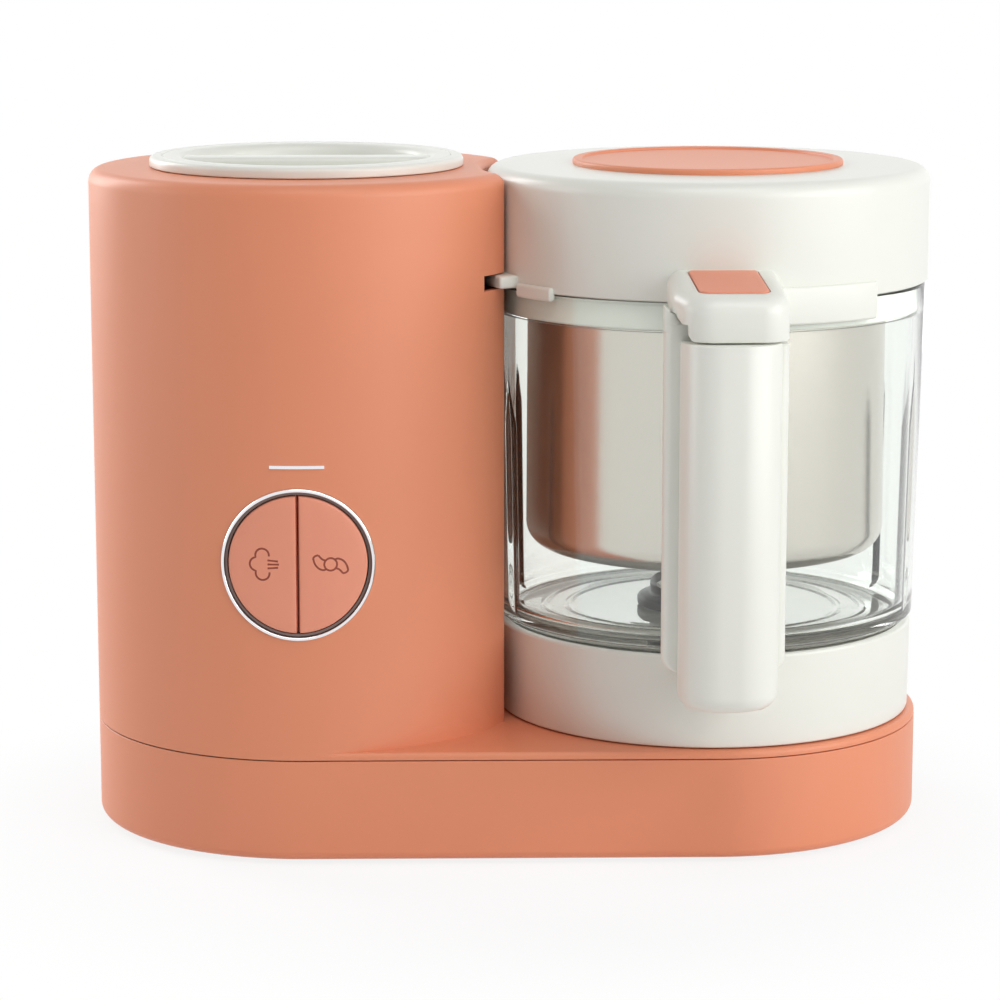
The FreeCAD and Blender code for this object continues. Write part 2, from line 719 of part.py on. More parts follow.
def half_button(side):
    """One half of the round button: side is -1 on the left and 1 on the right."""
    front = -END_RADIUS - BUTTON_PROUD
    back = -END_RADIUS + BUTTON_DEPTH
    disc = rod_back(BUTTON_RADIUS, front, back, FACE_X, BUTTON_Z)
    disc = disc.common(cylinder(END_RADIUS + BUTTON_PROUD, DECK_TOP, TOWER_TOP, TOWER_X))
    near = FACE_X + side * BUTTON_SPLIT / 2
    far = FACE_X + side * BEZEL_RADIUS
    low = BUTTON_Z - BEZEL_RADIUS
    high = BUTTON_Z + BEZEL_RADIUS
    half = disc.common(block(min(near, far), max(near, far), front, back, low, high))
    stem = rod_back(STEM_RADIUS, back - WELL_FLOOR, STEM_END, FACE_X + side * STEM_OFFSET, BUTTON_Z)
    return joined(half, stem)


def control_board():
    left = FACE_X - BOARD_HALF
    right = FACE_X + BOARD_HALF
    low = BUTTON_Z - BOARD_HALF
    board = block(left, right, BOARD_Y, BOARD_Y + BOARD_THICK, low, BUTTON_Z + BOARD_HALF)
    for x, z in standoff_places():
        board = board.cut(rod_back(SCREW_RADIUS + RUN_GAP, BOARD_Y, BOARD_Y + BOARD_THICK, x, z))
    return board


def tact_switches():
    half = TACT_SIDE / 2
    low = BUTTON_Z - half
    high = BUTTON_Z + half
    front = BOARD_Y - TACT_HEIGHT
    return [block(x - half, x + half, front, BOARD_Y, low, high) for x in stem_places()]


def board_screws():
    screws = []
    back = BOARD_Y + BOARD_THICK
    for x, z in standoff_places():
        head = rod_back(SCREW_HEAD_RADIUS, back, back + SCREW_HEAD_HEIGHT, x, z)
        shank = rod_back(SCREW_RADIUS, BOARD_Y - STANDOFF_LENGTH / 2, back + SCREW_HEAD_HEIGHT, x, z)
        screws.append(joined(head, shank))
    return screws


def accent_shape(gap):
    """Short bright bar set into the tower's front, grown by a gap."""
    half = ACCENT_LENGTH / 2 + gap
    rise = ACCENT_HEIGHT / 2 + gap
    front = -END_RADIUS - ACCENT_PROUD
    bar = block(FACE_X - half, FACE_X + half, front, 0, ACCENT_Z - rise, ACCENT_Z + rise)
    return bar.common(front_skin(ACCENT_PROUD, ACCENT_SUNK + gap))


# Boiler
def boiler_tank():
    """Steel cup that hangs by its flange in the tower's roof."""
    inside = TANK_RADIUS - TANK_WALL
    brim = TANK_RADIUS + TANK_FLANGE
    brim_bottom = FLANGE_TOP - TANK_FLANGE_THICK
    cup = turned(
        [(0, TANK_BOTTOM), (TANK_RADIUS, TANK_BOTTOM), (TANK_RADIUS, brim_bottom), (brim, brim_bottom),
         (brim, FLANGE_TOP), (inside, FLANGE_TOP), (inside, TANK_BOTTOM + TANK_WALL),
         (0, TANK_BOTTOM + TANK_WALL)],
        TOWER_X,
    )
    port = rod_right(NOZZLE_RADIUS, TOWER_X, TOWER_X + brim, 0, STEAM_Z)
    return cup.cut(port)


def boiler_heater():
    return cylinder(HEATER_RADIUS, TANK_BOTTOM - HEATER_THICK, TANK_BOTTOM, TOWER_X)


def thermostat():
    top = TANK_BOTTOM - HEATER_THICK
    return cylinder(THERMOSTAT_RADIUS, top - THERMOSTAT_THICK, top, TOWER_X)


def steam_nozzle():
    """Pipe from the tank through the hollow wall."""
    left = TOWER_X + TANK_RADIUS - TANK_WALL
    right = JAR_X - HOLLOW_RADIUS - FIT_GAP
    pipe = rod_right(NOZZLE_RADIUS, left, right, 0, STEAM_Z)
    return pipe.cut(rod_right(NOZZLE_BORE, left, right, 0, STEAM_Z))


def steam_port_seal():
    """Rubber ring round the nozzle's mouth, facing the lid's port."""
    right = JAR_X - HOLLOW_RADIUS + PORT_SEAL_THICK
    left = JAR_X - HOLLOW_RADIUS - TOWER_WALL
    ring = rod_right(PORT_SEAL_RADIUS, left, right, 0, STEAM_Z)
    ring = ring.cut(rod_right(NOZZLE_RADIUS + RUN_GAP, left, right, 0, STEAM_Z))
    facing = tube(HOLLOW_RADIUS, HOLLOW_RADIUS - PORT_SEAL_THICK, DECK_TOP, TOWER_TOP, JAR_X)
    return ring.common(facing)


def tank_cap():
    """Cap with a plug, a round finger bowl and a grip bar across it."""
    plug_bottom = CAP_BOTTOM - CAP_PLUG_DEPTH
    cap = turned(
        [(0, plug_bottom), (PLUG_RADIUS, plug_bottom), (PLUG_RADIUS, CAP_BOTTOM), (CAP_RADIUS, CAP_BOTTOM),
         (CAP_RADIUS, CAP_TOP, CAP_ROUND), (CAP_BOWL_RADIUS, CAP_TOP, CAP_ROUND),
         (CAP_BOWL_RADIUS, plug_bottom + CAP_WALL, CAP_WALL), (0, plug_bottom + CAP_WALL)],
        TOWER_X,
    )
    grip_top = CAP_TOP - CAP_GRIP_DROP
    reach = CAP_BOWL_RADIUS + CAP_WALL / 2
    grip = block(TOWER_X - reach, TOWER_X + reach, -CAP_GRIP_HALF, CAP_GRIP_HALF, plug_bottom, grip_top)
    return joined(cap, grip)


def tank_cap_seal():
    """Rubber ring round the cap's plug."""
    top = CAP_BOTTOM - SLIDE_GAP
    outside = TANK_RADIUS - TANK_WALL - SLIDE_GAP
    return tube(outside, PLUG_RADIUS, top - CAP_SEAL_HEIGHT, top, TOWER_X)


def safety_switch():
    """Switch whose nose looks into the slot for the lid's tongue."""
    x, y = switch_place()
    half_length = SWITCH_LENGTH / 2
    half_width = SWITCH_WIDTH / 2
    low = shelf_top()
    case = block(-half_length, half_length, -half_width, half_width, low, low + SWITCH_HEIGHT)
    nose_low = SLOT_BOTTOM + MOVE_GAP
    nose_high = SLOT_TOP - MOVE_GAP
    nose = block(half_length, half_length + STEM_RADIUS, -STEM_RADIUS, STEM_RADIUS, nose_low, nose_high)
    switch = joined(case, nose)
    switch.rotate(point(0, 0, 0), UP, SWITCH_ANGLE - LEFT_ANGLE)
    switch.translate(point(x, y, 0))
    return switch


# Motor
def motor_can():
    can = cylinder(MOTOR_RADIUS, DECK_BOTTOM, MOTOR_TOP, TOWER_X)
    inside = cylinder(MOTOR_RADIUS - MOTOR_WALL, DECK_BOTTOM + MOTOR_END, MOTOR_TOP - MOTOR_END, TOWER_X)
    bore = cylinder(MOTOR_SHAFT_RADIUS + RUN_GAP, DECK_BOTTOM, MOTOR_TOP, TOWER_X)
    cuts = [inside, bore]
    for x, y in on_circle(MOTOR_SCREW_CIRCLE, 2, 0.0, TOWER_X):
        cuts.append(screw_hole(x, y, DECK_BOTTOM, DECK_BOTTOM + MOTOR_END))
    return can.cut(Part.makeCompound(cuts))


def motor_magnets():
    outside = MOTOR_RADIUS - MOTOR_WALL
    low = DECK_BOTTOM + ROTOR_END_GAP
    high = MOTOR_TOP - ROTOR_END_GAP
    magnets = []
    for middle in (BACK_ANGLE, FRONT_ANGLE):
        start = middle - MAGNET_ANGLE / 2
        end = middle + MAGNET_ANGLE / 2
        magnets.append(sector(outside - MAGNET_THICK, outside, start, end, low, high, TOWER_X))
    return magnets


def motor_rotor():
    radius = MOTOR_RADIUS - MOTOR_WALL - MAGNET_THICK - ROTOR_GAP
    low = DECK_BOTTOM + ROTOR_END_GAP
    return tube(radius, MOTOR_SHAFT_RADIUS, low, MOTOR_TOP - ROTOR_END_GAP, TOWER_X)


def motor_shaft():
    return cylinder(MOTOR_SHAFT_RADIUS, PULLEY_BOTTOM, MOTOR_TOP, TOWER_X)


def motor_bracket():
    """Plate under the deck that the motor stands on."""
    low = DECK_BOTTOM - BRACKET_THICK
    plate = tube(BRACKET_RADIUS, BRACKET_NOSE, low, DECK_BOTTOM, TOWER_X)
    holes = []
    for x, y in on_circle(MOTOR_SCREW_CIRCLE, 2, 0.0, TOWER_X) + bracket_screw_places():
        holes.append(screw_hole(x, y, low, DECK_BOTTOM))
    return plate.cut(Part.makeCompound(holes))


def bracket_screws():
    head = DECK_BOTTOM - BRACKET_THICK - SCREW_HEAD_HEIGHT
    return [screw_up(x, y, head, SCREW_LENGTH) for x, y in bracket_screw_places()]


def motor_screws():
    head = DECK_BOTTOM - BRACKET_THICK - SCREW_HEAD_HEIGHT
    length = BRACKET_THICK + MOTOR_END
    return [screw_up(x, y, head, length) for x, y in on_circle(MOTOR_SCREW_CIRCLE, 2, 0.0, TOWER_X)]


# Belt drive
def pulley(radius, bore, x):
    """Flat pulley with a lip at each end."""
    lip = radius + PULLEY_LIP
    low = PULLEY_BOTTOM + PULLEY_LIP_THICK
    high = PULLEY_TOP - PULLEY_LIP_THICK
    return turned(
        [(bore, PULLEY_BOTTOM), (lip, PULLEY_BOTTOM), (lip, low), (radius, low),
         (radius, high), (lip, high), (lip, PULLEY_TOP), (bore, PULLEY_TOP)],
        x,
    )


def belt_hull(growth, low, high):
    """Space inside a band pulled round both pulleys, grown outwards."""
    small = MOTOR_PULLEY_RADIUS + growth
    large = DRIVEN_PULLEY_RADIUS + growth
    lean = math.asin((large - small) / AXIS_SPACING)
    across = math.sin(lean)
    up = math.cos(lean)
    corners = [
        (TOWER_X - small * across, -small * up), (JAR_X - large * across, -large * up),
        (JAR_X - large * across, large * up), (TOWER_X - small * across, small * up),
    ]
    left = cylinder(small, low, high, TOWER_X)
    right = cylinder(large, low, high, JAR_X)
    return joined(raised(corners, low, high), left, right)


def drive_belt():
    low = PULLEY_BOTTOM + PULLEY_LIP_THICK + BELT_GAP
    high = PULLEY_TOP - PULLEY_LIP_THICK - BELT_GAP
    return belt_hull(BELT_GAP + BELT_THICK, low, high).cut(belt_hull(BELT_GAP, low, high))


def drive_shaft():
    return cylinder(DRIVE_SHAFT_RADIUS, PULLEY_BOTTOM, SOCKET_BOTTOM + SOCKET_FLOOR, JAR_X)


def bearing_carrier():
    """Flanged tube under the deck that holds both bearings."""
    flange_low = DECK_BOTTOM - CARRIER_FLANGE_THICK
    body = cylinder(CARRIER_RADIUS, CARRIER_BOTTOM, DECK_BOTTOM, JAR_X)
    body = joined(body, cylinder(CARRIER_FLANGE_RADIUS, flange_low, DECK_BOTTOM, JAR_X))
    cuts = [cylinder(BEARING_SHOULDER, CARRIER_BOTTOM, DECK_BOTTOM, JAR_X)]
    cuts.append(cylinder(BEARING_RADIUS, CARRIER_BOTTOM, CARRIER_BOTTOM + BEARING_THICK, JAR_X))
    cuts.append(cylinder(BEARING_RADIUS, DECK_BOTTOM - BEARING_THICK, DECK_BOTTOM, JAR_X))
    for x, y in carrier_screw_places():
        cuts.append(screw_hole(x, y, flange_low, DECK_BOTTOM))
    return body.cut(Part.makeCompound(cuts))


def drive_bearings():
    bore = DRIVE_SHAFT_RADIUS + RUN_GAP
    lower = tube(BEARING_RADIUS, bore, CARRIER_BOTTOM, CARRIER_BOTTOM + BEARING_THICK, JAR_X)
    upper = tube(BEARING_RADIUS, bore, DECK_BOTTOM - BEARING_THICK, DECK_BOTTOM, JAR_X)
    return [lower, upper]


def carrier_screws():
    length = DECK_WALL + CARRIER_FLANGE_THICK
    return [screw_down(x, y, DECK_TOP, length) for x, y in carrier_screw_places()]


def drive_socket():
    """Cup on the drive shaft whose lugs push the jar's dog round."""
    floor_top = SOCKET_BOTTOM + SOCKET_FLOOR
    inside = SOCKET_RADIUS - SOCKET_WALL
    cup = cylinder(SOCKET_RADIUS, SOCKET_BOTTOM, SOCKET_TOP, JAR_X)
    cup = cup.cut(cylinder(inside, floor_top, SOCKET_TOP, JAR_X))
    for i in range(DOG_COUNT):
        start = FULL_TURN * i / DOG_COUNT - DOG_PLAY_ANGLE - DOG_ANGLE
        reach = inside - SOCKET_LUG_REACH
        root = SOCKET_RADIUS - SOCKET_WALL / 2
        end = start + DOG_ANGLE
        cup = cup.fuse(sector(reach, root, start, end, SOCKET_BOTTOM, SOCKET_TOP, JAR_X))
    return cup.removeSplitter().cut(cylinder(DRIVE_SHAFT_RADIUS, SOCKET_BOTTOM, floor_top, JAR_X))


def drive_dog():
    """Three-armed dog under the jar, just ahead of the socket's lugs."""
    low = SOCKET_BOTTOM + SOCKET_FLOOR + MOVE_GAP
    high = SOCKET_TOP - MOVE_GAP
    reach = SOCKET_RADIUS - SOCKET_WALL - MOVE_GAP
    dog = cylinder(DOG_HUB_RADIUS, low, high, JAR_X)
    for i in range(DOG_COUNT):
        start = FULL_TURN * i / DOG_COUNT
        dog = dog.fuse(sector(DOG_HUB_RADIUS / 2, reach, start, start + DOG_ANGLE, low, high, JAR_X))
    return dog.removeSplitter().cut(cylinder(BLADE_SHAFT_RADIUS, low, high, JAR_X))


# Jar
def jar_collar():
    """White foot of the jar: a skirt, a floor that carries the glass, and a hub."""
    collar = turned(
        [(BUSH_RADIUS, COLLAR_FLOOR), (COLLAR_INSIDE, COLLAR_FLOOR), (COLLAR_INSIDE, COLLAR_BOTTOM),
         (COLLAR_RADIUS, COLLAR_BOTTOM, COLLAR_ROUND), (COLLAR_RADIUS, COLLAR_TOP, COLLAR_ROUND),
         (COLLAR_INSIDE, COLLAR_TOP), (COLLAR_INSIDE, FLOOR_TOP), (HUB_RADIUS, FLOOR_TOP),
         (HUB_RADIUS, HUB_TOP), (BUSH_RADIUS, HUB_TOP)],
        JAR_X,
    )
    hook_top = DECK_TOP + SEAT_HEIGHT - LUG_THICK - MOVE_GAP
    hook_inside = SEAT_RADIUS + MOVE_GAP
    hook_outside = COLLAR_RADIUS - COLLAR_WALL / 2
    hooks = []
    for i in range(LUG_COUNT):
        start = LUG_FIRST_ANGLE + FULL_TURN * i / LUG_COUNT
        end = start + LUG_ANGLE
        hooks.append(sector(hook_inside, hook_outside, start, end, hook_top - HOOK_THICK, hook_top, JAR_X))
    return joined(collar, *hooks)


def jar_gasket():
    return tube(COLLAR_INSIDE - FIT_GAP, HUB_RADIUS + FIT_GAP, FLOOR_TOP, GLASS_BOTTOM, JAR_X)


def jar_glass():
    """Open glass with a heavy floor and a ledge inside its rim for the basket."""
    foot = COLLAR_INSIDE - FIT_GAP
    inside_low = GLASS_HEEL_RADIUS - GLASS_WALL
    ledge = GLASS_INSIDE + LEDGE_WIDTH
    bore = HUB_RADIUS + FIT_GAP
    return turned(
        [(bore, GLASS_BOTTOM), (foot, GLASS_BOTTOM), (foot, GLASS_HEEL),
         (GLASS_HEEL_RADIUS, GLASS_HEEL + GLASS_HEEL_RISE), (GLASS_TOP_RADIUS, GLASS_TOP),
         (ledge, GLASS_TOP), (ledge, LEDGE_Z), (GLASS_INSIDE, LEDGE_Z),
         (inside_low, GLASS_FLOOR, GLASS_FLOOR_ROUND), (bore, GLASS_FLOOR)],
        JAR_X,
    )


def shaft_bush():
    return tube(BUSH_RADIUS, BLADE_SHAFT_RADIUS + RUN_GAP, COLLAR_FLOOR, HUB_TOP - SEAL_HEIGHT, JAR_X)


def shaft_seal():
    return tube(BUSH_RADIUS, BLADE_SHAFT_RADIUS + RUN_GAP, HUB_TOP - SEAL_HEIGHT, HUB_TOP, JAR_X)


# Blade
def blade_shaft():
    low = SOCKET_BOTTOM + SOCKET_FLOOR + MOVE_GAP
    return cylinder(BLADE_SHAFT_RADIUS, low, NUT_Z + NUT_HEIGHT / 2, JAR_X)


def blade_hub():
    """Turned hub with a foot flange, under the knives."""
    flange_top = HUB_BOTTOM + BLADE_FLANGE_HEIGHT
    return turned(
        [(BLADE_SHAFT_RADIUS, HUB_BOTTOM), (BLADE_FLANGE_RADIUS, HUB_BOTTOM),
         (BLADE_FLANGE_RADIUS, flange_top), (BLADE_HUB_RADIUS, flange_top),
         (BLADE_HUB_RADIUS, KNIFE_Z, BLADE_HUB_ROUND), (BLADE_SHAFT_RADIUS, KNIFE_Z)],
        JAR_X,
    )


def knife(bottom, turn):
    """Flat two-armed knife with slanted tips."""
    half = KNIFE_WIDTH / 2
    inner = KNIFE_REACH - KNIFE_WIDTH
    outline = [
        (-KNIFE_REACH, -half), (-inner, -half - KNIFE_TIP), (inner, -half),
        (KNIFE_REACH, half), (inner, half + KNIFE_TIP), (-inner, half),
    ]
    blade = raised(outline, bottom, bottom + KNIFE_THICK)
    blade.rotate(point(0, 0, 0), UP, turn)
    blade.translate(point(JAR_X, 0, 0))
    return blade.cut(cylinder(BLADE_SHAFT_RADIUS, bottom, bottom + KNIFE_THICK, JAR_X))


def blade_nut():
    middle = NUT_Z + NUT_HEIGHT / 2
    rounding = NUT_HEIGHT / 4
    cap = turned([(0, middle), (NUT_RADIUS, middle), (NUT_RADIUS, NUT_TOP, rounding), (0, NUT_TOP)], JAR_X)
    return joined(cap, tube(NUT_RADIUS, BLADE_SHAFT_RADIUS, NUT_Z, middle, JAR_X))


# Basket
def steam_basket():
    """Steel cup with a holed floor and a straight brim."""
    inside = BASKET_RADIUS - BASKET_WALL
    floor_top = BASKET_BOTTOM + BASKET_WALL
    cup = turned(
        [(0, BASKET_BOTTOM), (BASKET_RADIUS, BASKET_BOTTOM, BASKET_ROUND), (BASKET_RADIUS, BASKET_TOP),
         (inside, BASKET_TOP), (inside, floor_top, BASKET_ROUND - BASKET_WALL), (0, floor_top)],
        JAR_X,
    )
    holes = [cylinder(HOLE_RADIUS, BASKET_BOTTOM, floor_top, JAR_X)]
    for ring in range(1, HOLE_RING_COUNT + 1):
        for x, y in on_circle(ring * HOLE_RING_PITCH, ring * HOLES_PER_RING, 0.0, JAR_X):
            holes.append(cylinder(HOLE_RADIUS, BASKET_BOTTOM, floor_top, x, y))
    return cup.cut(Part.makeCompound(holes))


def basket_rim():
    """White channel ring, pressed on the brim of the cup, that sits on the ledge of the glass."""
    web_top = RIM_BOTTOM + RIM_WEB
    inner_wall = BASKET_RADIUS + RIM_WALL
    outer_wall = RIM_RADIUS - RIM_WALL
    return turned(
        [(BASKET_RADIUS, RIM_BOTTOM), (RIM_RADIUS, RIM_BOTTOM), (RIM_RADIUS, RIM_TOP), (outer_wall, RIM_TOP),
         (outer_wall, web_top), (inner_wall, web_top), (inner_wall, RIM_TOP), (BASKET_RADIUS, RIM_TOP)],
        JAR_X,
    )


# Lid
def lid_shell():
    """Cup-shaped lid with a tongue for the tower's slot and a block beside it."""
    ceiling = LID_TOP - LID_WALL
    cup = turned(
        [(0, ceiling), (LID_INSIDE, ceiling, LID_ROUND - LID_WALL), (LID_INSIDE, LID_BOTTOM),
         (LID_RADIUS, LID_BOTTOM), (LID_RADIUS, LID_TOP, LID_ROUND), (0, LID_TOP)],
        JAR_X,
    )
    root = LID_RADIUS - FIT_GAP
    tongue_low = SLOT_BOTTOM + MOVE_GAP
    tongue_high = SLOT_TOP - MOVE_GAP
    tongue = sector(root, TONGUE_RADIUS, TONGUE_START_ANGLE, TONGUE_END_ANGLE, tongue_low, tongue_high, JAR_X)
    low = LID_BOTTOM - BLOCK_DROP
    high = low + BLOCK_HEIGHT
    outside = LID_RADIUS + BLOCK_REACH
    stop = sector(root, outside, TONGUE_END_ANGLE, BLOCK_END_ANGLE, low, high, JAR_X)
    port = rod_right(NOZZLE_BORE, JAR_X - TONGUE_RADIUS, JAR_X - LID_INSIDE + LID_WALL, 0, STEAM_Z)
    return joined(cup, tongue, stop).cut(port)


def lid_seal():
    return tube(LID_INSIDE, LINER_RADIUS, LID_BOTTOM, LINER_Z, JAR_X)


def lid_liner():
    """Inner ring of the lid that drops into the glass and clamps the seal."""
    low = LID_BOTTOM - LINER_DROP
    top = LINER_Z + LINER_FLANGE
    inside = LINER_RADIUS - LINER_WALL
    return turned(
        [(inside, low), (LINER_RADIUS, low), (LINER_RADIUS, LINER_Z), (LID_INSIDE, LINER_Z),
         (LID_INSIDE, top), (inside, top)],
        JAR_X,
    )


def lid_disc():
    """Coloured disc on the lid with a raised rim."""
    top = LID_TOP + DISC_THICK
    well = DISC_RADIUS - DISC_RIM
    return turned(
        [(0, LID_TOP), (DISC_RADIUS, LID_TOP), (DISC_RADIUS, top, DISC_GROOVE),
         (well, top, DISC_GROOVE / 2), (well, top - DISC_GROOVE), (0, top - DISC_GROOVE)],
        JAR_X,
    )


def hood_top_at(reach):
    """Height of the hood's sloping top at a distance in front of the jar's axis."""
    return HOOD_TOP - (reach - LID_RADIUS) * HOOD_RISE


def tilted(solid):
    """Turn a solid from level to the hood's slope, about the top's back edge."""
    solid.rotate(point(JAR_X, -LID_RADIUS, HOOD_TOP), RIGHT, HOOD_SLOPE_ANGLE)
    return solid


def latch_slab(growth, bottom, top):
    """Rounded slab on the hood's top, before it is tilted."""
    half = LATCH_WIDTH / 2 + growth
    back = -LID_RADIUS - LATCH_BACK + growth
    front = -LID_RADIUS - LATCH_BACK - LATCH_DEPTH - growth
    round_by = LATCH_ROUND + growth
    middle = JAR_X + LATCH_OFFSET
    corners = [
        (middle - half, front, round_by), (middle + half, front, round_by),
        (middle + half, back, round_by), (middle - half, back, round_by),
    ]
    return raised(corners, HOOD_TOP + bottom, HOOD_TOP + top)


def lid_hood():
    """Hood and wing on the lid's front: the handle's post leaves it on the left."""
    side = side_prism(
        [(-LID_INSIDE, HOOD_BOTTOM), (-LID_INSIDE, hood_top_at(LID_INSIDE)),
         (-HOOD_FRONT, hood_top_at(HOOD_FRONT), HOOD_ROUND), (-HOOD_FRONT, HOOD_BOTTOM, LATCH_ROUND)],
        JAR_X - HOOD_SIDE, JAR_X + HOOD_RIGHT,
    )
    plan = raised(
        [(JAR_X - HOOD_SIDE, 0), (JAR_X - HOOD_SIDE, -SPINE_BACK),
         (JAR_X - HOOD_LEFT, -HOOD_FRONT, HOOD_ROUND),
         (JAR_X + HOOD_RIGHT, -HOOD_FRONT, HOOD_ROUND), (JAR_X + HOOD_RIGHT, 0)],
        HOOD_BOTTOM, HOOD_TOP + LID_WALL,
    )
    wing_start = FRONT_ANGLE + math.degrees(math.asin(POST_RIGHT / LID_RADIUS))
    wing_outside = LID_RADIUS + WING_REACH
    wing = sector(LID_RADIUS, wing_outside, wing_start, WING_END_ANGLE, WING_BOTTOM, WING_TOP, JAR_X)
    hood = joined(side.common(plan), wing)
    hood = hood.cut(cylinder(LID_RADIUS, HOOD_BOTTOM, HOOD_TOP + LID_WALL, JAR_X))
    corner = math.hypot(SPINE_LEFT, SPINE_FRONT)
    swing_end = FRONT_ANGLE + math.degrees(math.atan((POST_RIGHT + 2 * MOVE_GAP) / SPINE_BACK))
    swing = sector(
        LID_INSIDE, corner + 2 * MOVE_GAP, LEFT_ANGLE, swing_end,
        HOOD_BOTTOM, POST_TOP + 2 * MOVE_GAP, JAR_X,
    )
    pocket = latch_slab(SLIDE_GAP, -LATCH_SUNK - LATCH_TRAVEL - SLIDE_GAP, LATCH_THICK)
    return hood.cut(swing).cut(tilted(pocket))


def latch_button():
    return tilted(latch_slab(0.0, -LATCH_SUNK, LATCH_PROUD))


# Handle
def handle_screw_heights():
    return [GRIP_BOTTOM + HANDLE_SCREW_INSET, HANDLE_TOP - HANDLE_SCREW_INSET]


def handle_spine():
    """White back of the handle: a neck on the collar, a tall plate and a post."""
    left = JAR_X - SPINE_LEFT
    right = JAR_X + SPINE_RIGHT
    plate = raised(
        [(left, -SPINE_BACK, SPINE_ROUND), (left, -SPINE_FRONT, SPINE_ROUND),
         (right, -SPINE_FRONT, SPINE_ROUND), (right, -SPINE_BACK, SPINE_ROUND)],
        SPINE_BOTTOM, HANDLE_TOP,
    )
    neck = block(JAR_X - NECK_HALF, JAR_X + NECK_HALF, -SPINE_FRONT, 0, NECK_BOTTOM, NECK_TOP)
    neck = neck.cut(cylinder(COLLAR_RADIUS, NECK_BOTTOM, NECK_TOP, JAR_X))
    post = raised(
        [(left, -SPINE_BACK, SPINE_ROUND), (left, -SPINE_FRONT, SPINE_ROUND),
         (JAR_X + POST_RIGHT, -SPINE_FRONT), (JAR_X + POST_RIGHT, -SPINE_BACK)],
        NECK_TOP, POST_TOP,
    )
    spine = joined(plate, neck, post)
    for z in handle_screw_heights():
        spine = spine.cut(rod_back(SCREW_RADIUS + RUN_GAP, -SPINE_FRONT, -SPINE_BACK, JAR_X, z))
        head_front = -SPINE_BACK - SCREW_HEAD_HEIGHT - SCREW_SUNK
        spine = spine.cut(rod_back(SCREW_HEAD_RADIUS + FIT_GAP, head_front, -SPINE_BACK, JAR_X, z))
    return spine


def handle_grip():
    left = JAR_X - GRIP_HALF
    right = JAR_X + GRIP_HALF
    plan = raised(
        [(left, -SPINE_FRONT), (left, -HANDLE_REACH, GRIP_ROUND),
         (right, -HANDLE_REACH, GRIP_ROUND), (right, -SPINE_FRONT)],
        GRIP_BOTTOM, HANDLE_TOP,
    )
    side = side_prism(
        [(-SPINE_FRONT, GRIP_BOTTOM), (-HANDLE_REACH, GRIP_BOTTOM, GRIP_END_ROUND),
         (-HANDLE_REACH, HANDLE_TOP), (-SPINE_FRONT, HANDLE_TOP)],
        left, right,
    )
    grip = plan.common(side)
    tip = -SPINE_BACK - SCREW_HEAD_HEIGHT - SCREW_SUNK - HANDLE_SCREW_LENGTH
    for z in handle_screw_heights():
        grip = grip.cut(rod_back(SCREW_RADIUS + RUN_GAP, tip, -SPINE_FRONT, JAR_X, z))
    return grip


def handle_screws():
    screws = []
    head_back = -SPINE_BACK - SCREW_SUNK
    head_front = head_back - SCREW_HEAD_HEIGHT
    for z in handle_screw_heights():
        head = rod_back(SCREW_HEAD_RADIUS, head_front, head_back, JAR_X, z)
        shank = rod_back(SCREW_RADIUS, head_front - HANDLE_SCREW_LENGTH, head_back, JAR_X, z)
        screws.append(joined(head, shank))
    return screws


def write(name, shape):
    """Write one node, moved so that the whole object is centred."""
    solids = shape if isinstance(shape, list) else shape.Solids
    node = solids[0].copy() if len(solids) == 1 else Part.makeCompound(solids)
    node.translate(point(FRAME_SHIFT_X, FRAME_SHIFT_Y, 0))
    node.exportStep(os.path.join("parts", name + ".step"))
    volume = sum(solid.Volume for solid in solids)
    print(name, len(solids), "solid(s)", round(volume), "mm3", "valid" if node.isValid() else "NOT VALID")


def main():
    os.makedirs("parts", exist_ok=True)
    plain = [
        base_pan, rubber_feet, bottom_screws, cord_gland, body_housing, button_bezel, button_well,
        control_board, tact_switches, board_screws, boiler_tank, boiler_heater, thermostat, steam_nozzle,
        steam_port_seal, tank_cap, tank_cap_seal, safety_switch, motor_can, motor_magnets, motor_rotor,
        motor_shaft, motor_bracket, bracket_screws, motor_screws, drive_belt, drive_shaft, bearing_carrier,
        drive_bearings, carrier_screws, drive_socket, drive_dog, jar_collar, jar_gasket, jar_glass,
        shaft_bush, shaft_seal, blade_shaft, blade_hub, blade_nut, steam_basket, basket_rim, lid_shell,
        lid_seal, lid_liner, lid_disc, lid_hood, latch_button, handle_spine, handle_grip, handle_screws,
    ]
    for make in plain:
        write(make.__name__, make())
    write("accent_bar", accent_shape(0.0))
    write("steam_button", half_button(-1))
    write("blend_button", half_button(1))
    write("motor_pulley", pulley(MOTOR_PULLEY_RADIUS, MOTOR_SHAFT_RADIUS, TOWER_X))
    write("driven_pulley", pulley(DRIVEN_PULLEY_RADIUS, DRIVE_SHAFT_RADIUS, JAR_X))
    write("lower_knife", knife(KNIFE_Z, BACK_ANGLE - KNIFE_SPREAD))
    write("upper_knife", knife(KNIFE_Z + KNIFE_THICK, BACK_ANGLE + KNIFE_SPREAD))


main()
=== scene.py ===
# %% [markdown]
# # A baby food maker, dressed over its CAD frame
#
# The object is a countertop steamer and blender: a round tower with a water tank, a glass
# jar with a lid and a handle, and one long base that joins them. The CAD frame brings every
# piece in its real place. This lesson builds the surfaces that the eye meets, one piece at a
# time, in the same frame and in millimetres, and gives every piece a finish.

import json
import math

import bmesh
import bpy
from mathutils import Matrix, Vector

